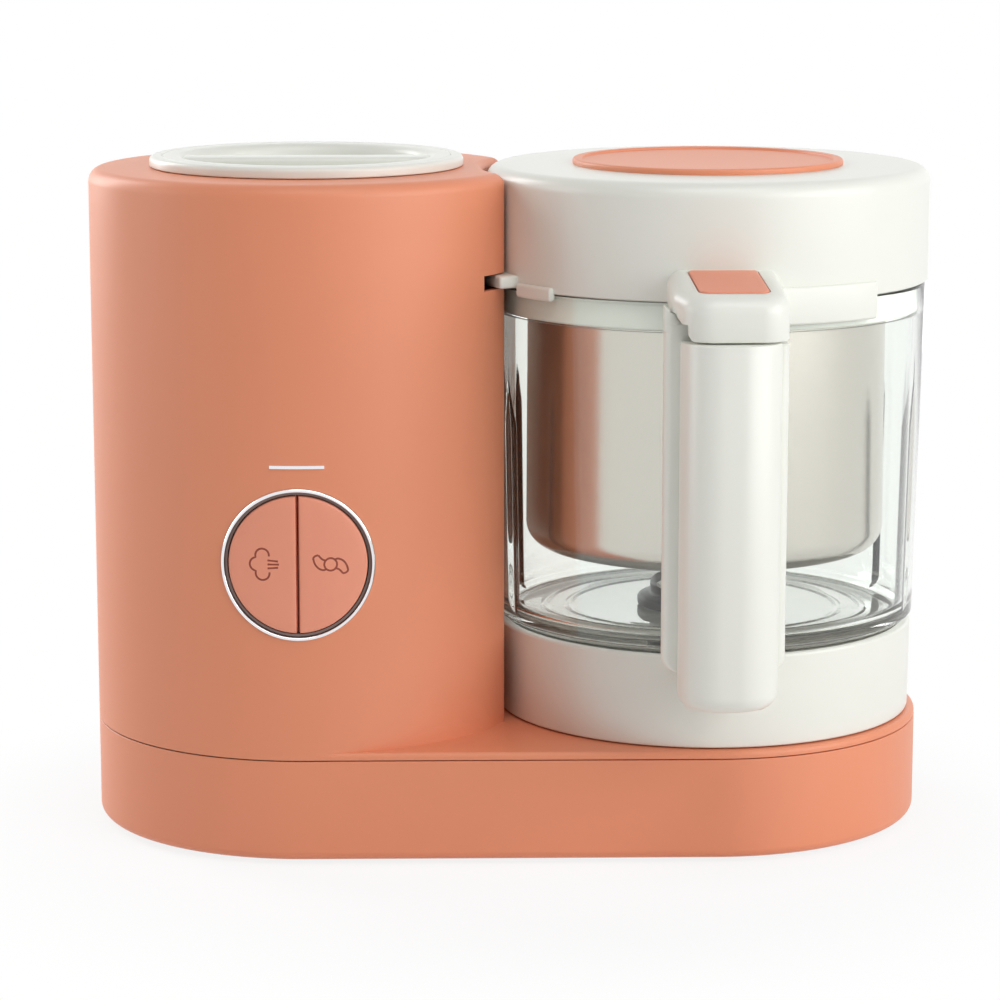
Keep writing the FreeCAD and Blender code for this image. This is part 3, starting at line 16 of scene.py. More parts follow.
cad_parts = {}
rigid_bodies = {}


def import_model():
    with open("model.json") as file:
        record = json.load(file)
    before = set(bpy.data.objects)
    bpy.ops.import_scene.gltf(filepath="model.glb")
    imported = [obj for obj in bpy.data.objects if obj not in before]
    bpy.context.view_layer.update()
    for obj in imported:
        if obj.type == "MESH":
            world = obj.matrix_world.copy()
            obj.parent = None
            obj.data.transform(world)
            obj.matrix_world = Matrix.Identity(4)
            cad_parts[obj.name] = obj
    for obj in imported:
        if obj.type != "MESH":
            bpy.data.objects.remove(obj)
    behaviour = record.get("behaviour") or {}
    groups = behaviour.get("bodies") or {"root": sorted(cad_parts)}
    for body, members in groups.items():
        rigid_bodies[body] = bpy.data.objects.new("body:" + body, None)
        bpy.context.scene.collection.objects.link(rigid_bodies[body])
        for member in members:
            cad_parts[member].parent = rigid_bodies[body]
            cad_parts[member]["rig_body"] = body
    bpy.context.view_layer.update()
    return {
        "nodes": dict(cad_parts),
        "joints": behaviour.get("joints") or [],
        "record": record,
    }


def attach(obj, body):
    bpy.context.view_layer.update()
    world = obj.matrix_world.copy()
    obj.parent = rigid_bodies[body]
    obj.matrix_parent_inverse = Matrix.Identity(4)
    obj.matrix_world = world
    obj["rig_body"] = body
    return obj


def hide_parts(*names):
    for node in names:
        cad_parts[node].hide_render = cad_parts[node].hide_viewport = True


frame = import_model()
scene = bpy.context.scene

# %% [markdown]
# ## Two upright axes
#
# The whole object hangs on two upright lines: the tower's axis and the jar's axis. They are
# also the centres of the base's round ends. Both come from joints of the frame, so the
# looks follow the CAD model if it moves. The sizes of the object are millimetres, and those of
# the stage are metres.

# %% Axes and shared sizes
MM = 0.001
joints = {joint["name"]: joint for joint in frame["joints"]}
TOWER_X, AXIS_Y = (v / MM for v in joints["motor_spin"]["pos_m"][:2])
JAR_X = joints["jar_turn"]["pos_m"][0] / MM
SPACING = JAR_X - TOWER_X
MIDDLE_X = (JAR_X + TOWER_X) / 2

END_RADIUS = 71.5
DECK_BOTTOM = 34.8
DECK_TOP = 37.2
TOWER_TOP = 218.0
LID_BOTTOM = 181.4
LID_TOP = 218.5
LID = 73.0
BUTTON_Z = 98.4
FACE_X = TOWER_X - 1.5
print("tower axis", TOWER_X, AXIS_Y, "jar axis", JAR_X, AXIS_Y)

# %% [markdown]
# ## Shapes from outlines
#
# Moulded and turned pieces are all outlines that are swept or spun. `rounded` puts real arcs
# on the corners of an outline, and `quarter` gives the steps of a round edge. `lathe` spins an
# outline about an upright axis, the way a potter or a turner would see it. `loft` skins a stack
# of closed rings. Both return plain vertices and faces, so that several of them can be joined
# into one piece.

# %% Outlines and rings
def rounded(corners, closed=False, turn=9.0):
    """Points along corners (x, y, radius), with an arc in place of each rounded corner."""
    points = []
    count = len(corners)
    for i, corner in enumerate(corners):
        here = Vector(corner[:2])
        radius = corner[2] if len(corner) > 2 else 0.0
        if radius <= 0 or (not closed and i in (0, count - 1)):
            points.append((here.x, here.y))
            continue
        a = (Vector(corners[i - 1][:2]) - here).normalized()
        b = (Vector(corners[(i + 1) % count][:2]) - here).normalized()
        half = math.acos(max(-1.0, min(1.0, a.dot(b)))) / 2
        middle = here + (a + b).normalized() * (radius / math.sin(half))
        start = here + a * (radius / math.tan(half)) - middle
        sweep = math.pi - 2 * half
        if start.y * a.x - start.x * a.y < 0:
            sweep = -sweep
        steps = max(2, math.ceil(abs(math.degrees(sweep)) / turn))
        for k in range(steps + 1):
            spun = Matrix.Rotation(sweep * k / steps, 2) @ start
            points.append((middle.x + spun.x, middle.y + spun.y))
    return points


def quarter(steps):
    """Sine and cosine at even steps from 0 to 90 degrees."""
    angles = [math.radians(90.0 * k / steps) for k in range(steps + 1)]
    return [(math.sin(t), math.cos(t)) for t in angles]


def lathe(profile, x, steps=192, dent=None):
    """Spin a closed profile of (radius, height). dent(radius, height, angle) may push it in."""
    count = len(profile)
    verts, faces = [], []
    for s in range(steps):
        angle = 2 * math.pi * s / steps
        for radius, height in profile:
            r = dent(radius, height, angle) if dent else radius
            verts.append((x + r * math.cos(angle), AXIS_Y + r * math.sin(angle), height))
    for s in range(steps):
        here, there = s * count, (s + 1) % steps * count
        for i in range(count):
            j = (i + 1) % count
            if profile[i][0] > 1e-6 or profile[j][0] > 1e-6:
                faces.append((here + i, there + i, there + j, here + j))
    return verts, faces


def loft(rings, capped=True):
    """Skin rings with the same number of points. Uncapped, the last ring meets the first."""
    count = len(rings[0])
    verts = [p for ring in rings for p in ring]
    faces = []
    for k in range(len(rings) if not capped else len(rings) - 1):
        here, there = k * count, (k + 1) % len(rings) * count
        for i in range(count):
            j = (i + 1) % count
            faces.append((here + i, here + j, there + j, there + i))
    if capped:
        faces.append(tuple(range(count))[::-1])
        faces.append(tuple(range(len(verts) - count, len(verts))))
    return verts, faces


# %% [markdown]
# Some details are wedges of a ring, some are slabs or blocks with soft edges, and some are rods.
# The same plain vertices and faces carry them. `softened` breaks the edges of a shape the way a
# mould does, because no moulded edge is truly sharp.

# %% Wedges, slabs, blocks and rods
def wedge(inside, outside, start, end, low, high, steps=24):
    """Part of a ring about the jar's axis, between two angles in degrees."""
    rings = []
    for k in range(steps + 1):
        angle = math.radians(start + (end - start) * k / steps)
        c, s = math.cos(angle), math.sin(angle)
        section = [(inside, low), (outside, low), (outside, high), (inside, high)]
        rings.append([(JAR_X + r * c, AXIS_Y + r * s, z) for r, z in section])
    return loft(rings)


def slab(line, front, back):
    """Upright outline of (x, z) from the jar's axis, carried from one depth to another."""
    return loft([[(JAR_X + x, AXIS_Y + y, z) for x, z in line] for y in (front, back)])


def block(x0, x1, y0, y1, z0, z1):
    """Box between two corners."""
    ring = [(x0, y0), (x1, y0), (x1, y1), (x0, y1)]
    return loft([[(px, py, z) for px, py in ring] for z in (z0, z1)])


def rod(radius, start, end, steps=64):
    """Round rod between two points."""
    a, b = Vector(start), Vector(end)
    turn = (b - a).to_track_quat("Z", "Y")
    rings = []
    for p in (a, b):
        ring = []
        for k in range(steps):
            angle = 2 * math.pi * k / steps
            ring.append(tuple(p + turn @ Vector((radius * math.cos(angle), radius * math.sin(angle), 0))))
        rings.append(ring)
    return loft(rings)


def softened(part, width, segments=3, sharper_than=30.0):
    """Round off every edge of a part that turns by more than an angle."""
    verts, faces = part
    bm = bmesh.new()
    made = [bm.verts.new(v) for v in verts]
    for face in faces:
        bm.faces.new([made[i] for i in face])
    bmesh.ops.recalc_face_normals(bm, faces=bm.faces)
    limit = math.radians(sharper_than)
    edges = [e for e in bm.edges if len(e.link_faces) == 2 and e.calc_face_angle() > limit]
    bmesh.ops.bevel(
        bm, geom=edges, offset=width, segments=segments, profile=0.5, affect="EDGES", clamp_overlap=True
    )
    bm.verts.index_update()
    out = [tuple(v.co) for v in bm.verts], [tuple(v.index for v in f.verts) for f in bm.faces]
    bm.free()
    return out


# %% [markdown]
# ## From shapes to pieces
#
# A piece is one mesh that rides on a CAD body, and most pieces stand for one CAD node. `bare`
# joins parts into one mesh with its faces outward. `carve` cuts shapes out of it, or joins them
# to it, with an exact Boolean. `piece` gives it a finish, keeps real edges crisp and tells the
# frame where it belongs.

# %% Pieces
def bare(name, parts):
    """One mesh object from parts in millimetres."""
    verts, faces = [], []
    for part_verts, part_faces in parts:
        first = len(verts)
        verts += [(x * MM, y * MM, z * MM) for x, y, z in part_verts]
        faces += [tuple(first + i for i in face) for face in part_faces]
    mesh = bpy.data.meshes.new(name)
    mesh.from_pydata(verts, [], faces)
    bm = bmesh.new()
    bm.from_mesh(mesh)
    bmesh.ops.remove_doubles(bm, verts=bm.verts, dist=2e-6)
    bmesh.ops.dissolve_degenerate(bm, edges=bm.edges, dist=1e-7)
    bmesh.ops.recalc_face_normals(bm, faces=bm.faces)
    bm.to_mesh(mesh)
    bm.free()
    made = bpy.data.objects.new(name, mesh)
    scene.collection.objects.link(made)
    return made


def settle(target):
    """Apply the modifiers of an object to its mesh."""
    graph = bpy.context.evaluated_depsgraph_get()
    mesh = bpy.data.meshes.new_from_object(target.evaluated_get(graph))
    target.modifiers.clear()
    target.data = mesh
    return target


def carve(target, cutters, way="DIFFERENCE"):
    """Cut parts out of an object, or join them to it, one after another."""
    for part in cutters:
        tool = part if isinstance(part, bpy.types.Object) else bare("cutter", [part])
        change = target.modifiers.new("carve", "BOOLEAN")
        change.operation, change.solver, change.object = way, "EXACT", tool
        settle(target)
        bpy.data.objects.remove(tool)
    return target


def piece(made, material, body, nodes=(), crease=32.0):
    """Finish an object as a piece of a CAD body that stands for CAD nodes."""
    mesh = made.data
    mesh.materials.clear()
    mesh.materials.append(material)
    for polygon in mesh.polygons:
        polygon.material_index = 0
    mesh.shade_smooth()
    mesh.set_sharp_from_angle(angle=math.radians(crease))
    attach(made, body)
    if nodes:
        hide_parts(*nodes)
    print(f"{made.name}: {len(mesh.polygons)} faces on {body}")
    return made


# %% [markdown]
# ## Finishes
#
# All finishes are procedural and use object coordinates, which here are the metres of the
# frame. A moulded plastic is a colour with a very fine grain, a slow change of tone and a
# roughness that isn't quite even. The basket's steel gets a brushed grain that is long one way
# and short the other.

# %% Materials
def srgb(red, green, blue):
    """Linear colour of an 8-bit screen colour."""
    out = []
    for v in (red, green, blue):
        v /= 255
        out.append(v / 12.92 if v <= 0.04045 else ((v + 0.055) / 1.055) ** 2.4)
    return (*out, 1.0)


def finish_of(
    name, colour, roughness, metallic=0.0, grain=1500.0, bump=0.1, tone=0.06, stretch=(1, 1, 1)
):
    """Principled material with noise in its colour, its roughness and its surface."""
    material = bpy.data.materials.new(name)
    material.use_nodes = True
    tree = material.node_tree
    add, link = tree.nodes.new, tree.links.new
    shader = tree.nodes["Principled BSDF"]
    shader.inputs["Metallic"].default_value = metallic
    place = add("ShaderNodeTexCoord")
    mapping = add("ShaderNodeMapping")
    mapping.inputs["Scale"].default_value = stretch
    link(place.outputs["Object"], mapping.inputs["Vector"])
    fine = add("ShaderNodeTexNoise")
    fine.inputs["Scale"].default_value = grain
    fine.inputs["Detail"].default_value = 3.0
    slow = add("ShaderNodeTexNoise")
    slow.inputs["Scale"].default_value = 14.0
    slow.inputs["Detail"].default_value = 2.0
    link(mapping.outputs["Vector"], fine.inputs["Vector"])
    link(place.outputs["Object"], slow.inputs["Vector"])
    blend = add("ShaderNodeMix")
    blend.data_type = "RGBA"
    blend.inputs["A"].default_value = [c * (1 - tone) for c in colour[:3]] + [1.0]
    blend.inputs["B"].default_value = [min(1.0, c * (1 + tone)) for c in colour[:3]] + [1.0]
    link(slow.outputs["Fac"], blend.inputs["Factor"])
    link(blend.outputs["Result"], shader.inputs["Base Color"])
    ramp = add("ShaderNodeMapRange")
    ramp.inputs["To Min"].default_value = roughness * 0.88
    ramp.inputs["To Max"].default_value = min(1.0, roughness * 1.12)
    link(fine.outputs["Fac"], ramp.inputs["Value"])
    link(ramp.outputs["Result"], shader.inputs["Roughness"])
    relief = add("ShaderNodeBump")
    relief.inputs["Strength"].default_value = bump
    relief.inputs["Distance"].default_value = 0.0002
    link(fine.outputs["Fac"], relief.inputs["Height"])
    link(relief.outputs["Normal"], shader.inputs["Normal"])
    return material


CORAL = finish_of("coral_plastic", srgb(227, 143, 107), 0.44, grain=2600, bump=0.10, tone=0.03)
WHITE = finish_of("white_plastic", srgb(232, 233, 225), 0.32, grain=900, bump=0.03, tone=0.015)
STEEL = finish_of("brushed_steel", srgb(214, 207, 200), 0.22, 1.0, 420, 0.1, 0.03, (0.04, 0.04, 14.0))
PLAIN_STEEL = finish_of("zinc_steel", srgb(190, 190, 188), 0.34, 1.0, 700, 0.08, 0.05)
CHROME = finish_of("bright_chrome", srgb(236, 236, 238), 0.07, 1.0, 300, 0.01, 0.01)
DARK = finish_of("dark_plastic", srgb(58, 52, 50), 0.45, grain=1800, bump=0.12, tone=0.08)
# Painted light: dark plastic made paler for the shaded well round the buttons.
WELL_PAINTED_LIGHT = finish_of("well_dark_plastic_painted_light", srgb(128, 107, 101), 0.45, grain=1800, bump=0.1, tone=0.06)
KEYS = finish_of("coral_keys", srgb(233, 151, 123), 0.46, grain=2600, bump=0.08, tone=0.03)
HUB = finish_of("hub_grey", srgb(72, 72, 75), 0.4, grain=1500, bump=0.08, tone=0.05)
RUBBER = finish_of("black_rubber", srgb(40, 40, 42), 0.75, grain=1200, bump=0.2, tone=0.1)
CLEAR_RUBBER = finish_of("pale_silicone", srgb(224, 222, 214), 0.55, grain=1000, bump=0.1, tone=0.03)
HEATER = finish_of("cast_alloy", srgb(160, 160, 158), 0.55, 1.0, 500, 0.25, 0.08)
BRASS = finish_of("turned_brass", srgb(205, 168, 96), 0.28, 1.0, 600, 0.05, 0.05)
BOARD = finish_of("board_green", srgb(44, 92, 60), 0.5, grain=900, bump=0.06, tone=0.1)
INK = finish_of("printed_line", srgb(140, 62, 44), 0.55, grain=1500, bump=0.05, tone=0.05)
print("materials:", len(bpy.data.materials))

# %% [markdown]
# Glass is different: what it shows is what is behind it. The light is left to bend at both
# faces of the wall, and a trace of green stands for the iron in thick soda glass.

# %% Glass
GLASS = finish_of("jar_glass_clear", srgb(250, 253, 250), 0.02, grain=60, bump=0.004, tone=0.004)
glass_shader = GLASS.node_tree.nodes["Principled BSDF"]
glass_shader.inputs["Transmission Weight"].default_value = 1.0
glass_shader.inputs["IOR"].default_value = 1.5

# %% [markdown]
# ## The base tray
#
# The base is a tray, moulded in one piece: two half circles joined by straight sides, with a
# small round under its bottom edge so that it seems to float on its feet. Slots in the floor
# let air reach the motor. A stadium ring at several insets gives the tray, inside and out.

# %% Base tray
def stadium(inset, z, steps=72):
    """Outline of the base at one height: half circles about both axes."""
    radius = END_RADIUS - inset
    ring = []
    for x, first in ((JAR_X, -90.0), (TOWER_X, 90.0)):
        for k in range(steps + 1):
            angle = math.radians(first + 180.0 * k / steps)
            ring.append((x + radius * math.cos(angle), AXIS_Y + radius * math.sin(angle), z))
    return ring


SEAM = 0.4
PAN_BOTTOM, PAN_TOP = 1.5, DECK_BOTTOM - SEAM
PAN_WALL, PAN_FLOOR, FLOOR_INSET = 2.6, 3.0, 30.0
tray_section = rounded(
    [
        (FLOOR_INSET, PAN_BOTTOM), (0.0, PAN_BOTTOM, 3.2), (0.0, PAN_TOP, 0.35), (PAN_WALL, PAN_TOP, 0.3),
        (PAN_WALL, PAN_BOTTOM + PAN_FLOOR, 1.5), (FLOOR_INSET, PAN_BOTTOM + PAN_FLOOR),
    ]
)
tray = bare("base_tray", [loft([stadium(inset, z) for inset, z in tray_section])])


# %% [markdown]
# The air slots are one slot, repeated along a line. Geometry Nodes makes the row: a line of
# points, a block on each of them, made real at the end. The row is then cut from the floor.

# %% A row of slots and rings of holes by Geometry Nodes
def copies_group(name, ring):
    """Node group that places copies of a block on a line, or of a rod on a circle."""
    group = bpy.data.node_groups.new(name, "GeometryNodeTree")
    given_kinds = {
        "Geometry": "Geometry", "Copies": "Int", "Spread": "Float", "Size": "Vector", "Place": "Vector",
        "Finish": "Material",
    }
    for key, kind in given_kinds.items():
        group.interface.new_socket(key, in_out="INPUT", socket_type=f"NodeSocket{kind}")
    group.interface.new_socket("Geometry", in_out="OUTPUT", socket_type="NodeSocketGeometry")
    add, link = group.nodes.new, group.links.new
    given, result = add("NodeGroupInput"), add("NodeGroupOutput")
    size = add("ShaderNodeSeparateXYZ")
    link(given.outputs["Size"], size.inputs["Vector"])
    if ring:
        spread = add("GeometryNodeMeshCircle")
        link(given.outputs["Copies"], spread.inputs["Vertices"])
        link(given.outputs["Spread"], spread.inputs["Radius"])
        shape = add("GeometryNodeMeshCylinder")
        shape.inputs["Vertices"].default_value = 20
        link(size.outputs["X"], shape.inputs["Radius"])
        link(size.outputs["Z"], shape.inputs["Depth"])
    else:
        spread = add("GeometryNodeMeshLine")
        step = add("ShaderNodeCombineXYZ")
        link(given.outputs["Spread"], step.inputs["X"])
        link(given.outputs["Copies"], spread.inputs["Count"])
        link(step.outputs["Vector"], spread.inputs["Offset"])
        shape = add("GeometryNodeMeshCube")
        link(given.outputs["Size"], shape.inputs["Size"])
    moved = add("GeometryNodeTransform")
    link(spread.outputs["Mesh"], moved.inputs["Geometry"])
    link(given.outputs["Place"], moved.inputs["Translation"])
    placed = add("GeometryNodeInstanceOnPoints")
    link(moved.outputs["Geometry"], placed.inputs["Points"])
    link(shape.outputs["Mesh"], placed.inputs["Instance"])
    real = add("GeometryNodeRealizeInstances")
    both = add("GeometryNodeJoinGeometry")
    painted = add("GeometryNodeSetMaterial")
    link(placed.outputs["Instances"], both.inputs["Geometry"])
    link(given.outputs["Geometry"], both.inputs["Geometry"])
    link(both.outputs["Geometry"], real.inputs["Geometry"])
    link(real.outputs["Geometry"], painted.inputs["Geometry"])
    link(given.outputs["Finish"], painted.inputs["Material"])
    link(painted.outputs["Geometry"], result.inputs["Geometry"])
    return group


ROW, RINGS = copies_group("row_of_slots", False), copies_group("ring_of_holes", True)


def copies(name, group, rows):
    """Real mesh of one or more rows, each given as a dict of the group's inputs."""
    made = bpy.data.objects.new(name, bpy.data.meshes.new(name))
    scene.collection.objects.link(made)
    sockets = {s.name: s.identifier for s in group.interface.items_tree if s.in_out == "INPUT"}
    for row in rows:
        modifier = made.modifiers.new("copies", "NODES")
        modifier.node_group = group
        for key, value in row.items():
            modifier[sockets[key]] = value
    return settle(made)


VENTS, VENT_PITCH = 7, 7.0
VENT_WIDTH, VENT_LENGTH, VENT_DEPTH, VENT_Z = 2.5, 26, 12, 3
slot_row = copies(
    "slot_row", ROW,
    [{
        "Copies": VENTS, "Spread": VENT_PITCH * MM, "Finish": CORAL,
        "Size": (VENT_WIDTH * MM, VENT_LENGTH * MM, VENT_DEPTH * MM),
        "Place": ((MIDDLE_X - VENT_PITCH * (VENTS - 1) / 2) * MM, AXIS_Y * MM, VENT_Z * MM),
    }],
)
GLAND, GLAND_X, GLAND_Z = 6.5, MIDDLE_X - 30, 17
gland_hole = rod(GLAND, (GLAND_X, AXIS_Y + 60, GLAND_Z), (GLAND_X, AXIS_Y + 80, GLAND_Z))
carve(tray, [slot_row, gland_hole])
piece(tray, CORAL, "base", ["base_pan"])

# %% [markdown]
# ## The tower and the deck
#
# The coral housing is one moulding: a deck that closes the tray, and the tower that grows out
# of it. In plan the tower is a circle with a bite taken out of it, because the jar nests into
# its side. The two horns beside the bite are softened. A ring function gives that plan for any
# radius, so the round at the top edge is a stack of slightly smaller rings.

# %% Plan of the tower
def tower_ring(outer, hollow, fillet, z, arc=150, bite=64, corner=8):
    """Closed plan of the tower: outer circle, hollow about the jar's axis, softened horns."""
    a, b = outer - fillet, hollow + fillet
    cx = (SPACING**2 + a * a - b * b) / (2 * SPACING)
    cy = math.sqrt(a * a - cx * cx)
    start, facing = math.atan2(cy, cx), math.atan2(cy, SPACING - cx)
    ring = []
    for k in range(arc):
        t = start + (2 * math.pi - 2 * start) * k / arc
        ring.append((outer * math.cos(t), outer * math.sin(t)))
    for k in range(corner):
        t = -start + (facing + start) * k / corner
        ring.append((cx + fillet * math.cos(t), -cy + fillet * math.sin(t)))
    for k in range(bite):
        t = math.pi + facing - 2 * facing * k / bite
        ring.append((SPACING + hollow * math.cos(t), hollow * math.sin(t)))
    for k in range(corner):
        t = -facing + (facing + start) * k / corner
        ring.append((cx + fillet * math.cos(t), cy + fillet * math.sin(t)))
    return [(TOWER_X + px, AXIS_Y + py, z) for px, py in ring]


def tank_ring(radius, like, z):
    """Circle about the tower's axis whose points lie in the directions of another ring's."""
    ring = []
    for x, y, _ in like:
        angle = math.atan2(y - AXIS_Y, x - TOWER_X)
        ring.append((TOWER_X + radius * math.cos(angle), AXIS_Y + radius * math.sin(angle), z))
    return ring


HOLLOW = LID + 1.2
HORN = 1.6
TOP_ROUND, BITE_ROUND = 4.4, 3.0
WALL = 2.6
OPENING, BRIM_SEAT, TANK_BORE, ROOF_UNDER = 50.0, 216.2, 46.3, 214.0
OPENING_EDGE = 0.4

# %% [markdown]
# The wall runs straight up from the deck, turns over in the top round, crosses the roof to the
# tank's opening and comes back down as the inner skin. The opening has a step for the tank's
# brim, and the cap covers it.

# %% Tower wall
wall = [tower_ring(END_RADIUS, HOLLOW, HORN, z) for z in (DECK_BOTTOM, 60, 90, 120, 150, 180, 205)]
for sine, cosine in quarter(12):
    z = TOWER_TOP - TOP_ROUND + TOP_ROUND * sine
    outer = END_RADIUS - TOP_ROUND + TOP_ROUND * cosine
    rise = max(0.0, z - (TOWER_TOP - BITE_ROUND)) / BITE_ROUND
    hollow = HOLLOW + BITE_ROUND * (1 - math.sqrt(max(0.0, 1 - rise * rise)))
    wall.append(tower_ring(outer, hollow, HORN, z))
roof = wall[-1]
for radius, z in (
    (OPENING + OPENING_EDGE, TOWER_TOP), (OPENING, TOWER_TOP - OPENING_EDGE), (OPENING, BRIM_SEAT),
    (TANK_BORE, BRIM_SEAT), (TANK_BORE, ROOF_UNDER),
):
    wall.append(tank_ring(radius, roof, z))
wall += [tower_ring(END_RADIUS - WALL, HOLLOW + WALL, HORN, z) for z in (ROOF_UNDER, DECK_BOTTOM)]
housing = bare("housing_moulding", [loft(wall, capped=False)])

# %% [markdown]
# Three openings go through the tower's wall: the round hole for the buttons, the slot that
# takes the lid's tongue, and the port for the steam. They are real cuts, so that a pressed
# button and a turned lid look right too.

# %% Openings of the tower
FRONT_Y = AXIS_Y - END_RADIUS
BUTTON_HOLE, PORT_HOLE, PORT_Z = 24.55, 5.05, 199
SLOT_LOW, SLOT_HIGH = LID_BOTTOM - 0.2, LID_BOTTOM + 4.8
button_hole = rod(BUTTON_HOLE, (FACE_X, FRONT_Y - 5, BUTTON_Z), (FACE_X, FRONT_Y + 16, BUTTON_Z), 128)
tongue_slot = wedge(inside=60.0, outside=85.3, start=188.0, end=216.0, low=SLOT_LOW, high=SLOT_HIGH, steps=40)
steam_port = rod(PORT_HOLE, (JAR_X - HOLLOW - 6, AXIS_Y, PORT_Z), (JAR_X - HOLLOW + 4, AXIS_Y, PORT_Z))
carve(housing, [button_hole, tongue_slot, steam_port])

# %% [markdown]
# The deck is a shallow lid on the tray with a small round at its edge. The seat that the jar
# locks onto stands on it: a low ring with three lugs. The deck is a hair smaller than the
# tower, so that the tower's wall comes down over it to the seam on the left.

# %% Deck and jar seat
DECK_INSET, DECK_ROUND = 0.06, 1.6
SEAT_IN, SEAT, SEAT_LOW, SEAT_TOP = 57.0, 60.0, 36.5, 43.7
LUG, LUG_LOW = 63.5, 41.7
BAYONET, BAYONET_WIDTH = (30.0, 150.0, 270.0), 20.0
deck_rings = [(DECK_INSET, DECK_BOTTOM), (DECK_INSET, DECK_TOP - DECK_ROUND)]
for sine, cosine in quarter(7)[1:]:
    inset = DECK_INSET + DECK_ROUND * (1 - cosine)
    deck_rings.append((inset, DECK_TOP - DECK_ROUND + DECK_ROUND * sine))
deck = loft([stadium(inset, z) for inset, z in deck_rings])
seat_profile = [(SEAT_IN, SEAT_LOW), (SEAT, SEAT_LOW), (SEAT, SEAT_TOP), (SEAT_IN, SEAT_TOP)]
seat = lathe(seat_profile, JAR_X, steps=128)
lugs = [wedge(SEAT - 1.5, LUG, a, a + BAYONET_WIDTH, LUG_LOW, SEAT_TOP) for a in BAYONET]
rest_of_housing = bare("housing_deck", [deck, seat, *lugs])
both = [housing, rest_of_housing]
with bpy.context.temp_override(active_object=housing, selected_editable_objects=both):
    bpy.ops.object.join()
piece(housing, CORAL, "base", ["body_housing"])

# %% [markdown]
# ## The button group
#
# A chrome ring frames a round button that is split down the middle: the left half steams and
# the right half blends. Everything follows the tower's round face, so each point is pushed
# back onto that cylinder. The ring is a small rounded section, carried round a circle.

# %% Points on the tower's face
def on_face(x, z, proud):
    """Point of the tower's front at an offset from the buttons' middle, proud of the wall."""
    radius = END_RADIUS + proud
    return (FACE_X + x, AXIS_Y - math.sqrt(radius**2 - (FACE_X + x - TOWER_X) ** 2), BUTTON_Z + z)


BEZEL_IN, BEZEL, BEZEL_PROUD, BEZEL_DEEP, BEZEL_STEPS = 23.4, 24.5, 0.8, -2.4, 160
section = rounded(
    [
        (BEZEL_IN, BEZEL_DEEP, 0.0), (BEZEL_IN, BEZEL_PROUD, 0.3), (BEZEL, BEZEL_PROUD, 0.6),
        (BEZEL, BEZEL_DEEP, 0.0),
    ],
    closed=True, turn=15.0,
)
rings = []
for k in range(BEZEL_STEPS):
    t = 2 * math.pi * k / BEZEL_STEPS
    rings.append([on_face(r * math.cos(t), r * math.sin(t), proud) for r, proud in section])
bezel = bare("bezel_ring", [loft(rings, capped=False)])
piece(bezel, CHROME, "base", ["button_bezel"])

# %% [markdown]
# Each button is half of a disc with softened edges. Its outline is drawn once, and copies of
# it that shrink towards the middle make the curved face. Below the face the halves come closer,
# so that the split between them is a shallow groove.

# %% Button halves
BUTTON_RADIUS, SPLIT, GROOVE = 22.0, 1.0, 0.3
BUTTON_PROUD, BUTTON_FOOT, BUTTON_BACK = 0.3, -2.4, -5.0
HALF_MIDDLE = 8.5


def half_outline(side, edge):
    """Outline of one half, counter-clockwise for the right one."""
    top = math.sqrt(BUTTON_RADIUS**2 - edge**2)
    reach = math.atan2(top, edge)
    points = [(edge, -top + 2 * top * k / 40) for k in range(40, 0, -1)]
    for k in range(72):
        t = -reach + 2 * reach * k / 72
        points.append((BUTTON_RADIUS * math.cos(t), BUTTON_RADIUS * math.sin(t)))
    return [(side * x, z) for x, z in points]


def button_half(side, name, body, node):
    """One half, from its back to its face, as rings that shrink towards its middle."""
    outline, foot = half_outline(side, SPLIT / 2), half_outline(side, GROOVE / 2)
    middle = side * HALF_MIDDLE
    rings = [[on_face(x, z, proud) for x, z in foot] for proud in (BUTTON_BACK, BUTTON_FOOT)]
    edge = [(1.0, -2.2), (1.0, -0.25), (0.993, 0.05), (0.978, 0.22), (0.955, BUTTON_PROUD)]
    for keep, proud in edge + [(keep, BUTTON_PROUD) for keep in (0.8, 0.6, 0.4, 0.2, 0.02)]:
        rings.append([on_face(middle + (x - middle) * keep, z * keep, proud) for x, z in outline])
    return piece(bare(name, [loft(rings)]), KEYS, body, [node])


button_half(-1, "steam_half", "steam_button", "steam_button")
button_half(1, "blend_half", "blend_button", "blend_button")

# %% [markdown]
# The signs on the buttons are thin printed lines: a puff with three jets for steam, and a
# two-armed blade for blending. A line is a flat bead that follows a path on the button's face,
# half sunk into it, with a rounded edge like thick ink.

# %% Signs
def bead(path, width=0.62, height=0.06, closed=False):
    """Flat rounded line along (x, z) points on the face of the buttons."""
    rings = []
    for i, (x, z) in enumerate(path):
        before = path[i - 1] if i or closed else path[i]
        after = path[(i + 1) % len(path)] if i < len(path) - 1 or closed else path[i]
        along = Vector((after[0] - before[0], after[1] - before[1])).normalized()
        ring = []
        for k in range(8):
            t = 2 * math.pi * k / 8
            side = width / 2 * math.cos(t)
            proud = BUTTON_PROUD + height * math.sin(t)
            ring.append(on_face(x - along.y * side, z + along.x * side, proud))
        rings.append(ring)
    return loft(rings, capped=not closed)


def arc_path(cx, cz, radius, start, end, steps=24):
    """Points on a circle between two angles in degrees."""
    path = []
    for k in range(steps + 1):
        t = math.radians(start + (end - start) * k / steps)
        path.append((cx + radius * math.cos(t), cz + radius * math.sin(t)))
    return path


puff = arc_path(-11.2, 3.1, 2.15, -8, 196, 22) + arc_path(-13.0, 0.25, 2.15, 118, 242, 16)
puff += arc_path(-11.1, -2.65, 2.2, 164, 368, 22)
jets = [[(-9.5, 0.2 + z * 1.3), (-5.9 - abs(z) * 0.3, 0.2 + z)] for z in (1.0, 0.0, -1.0)]
steam_sign = bare("steam_sign", [bead(puff)] + [bead(j) for j in jets])
piece(steam_sign, INK, "steam_button")

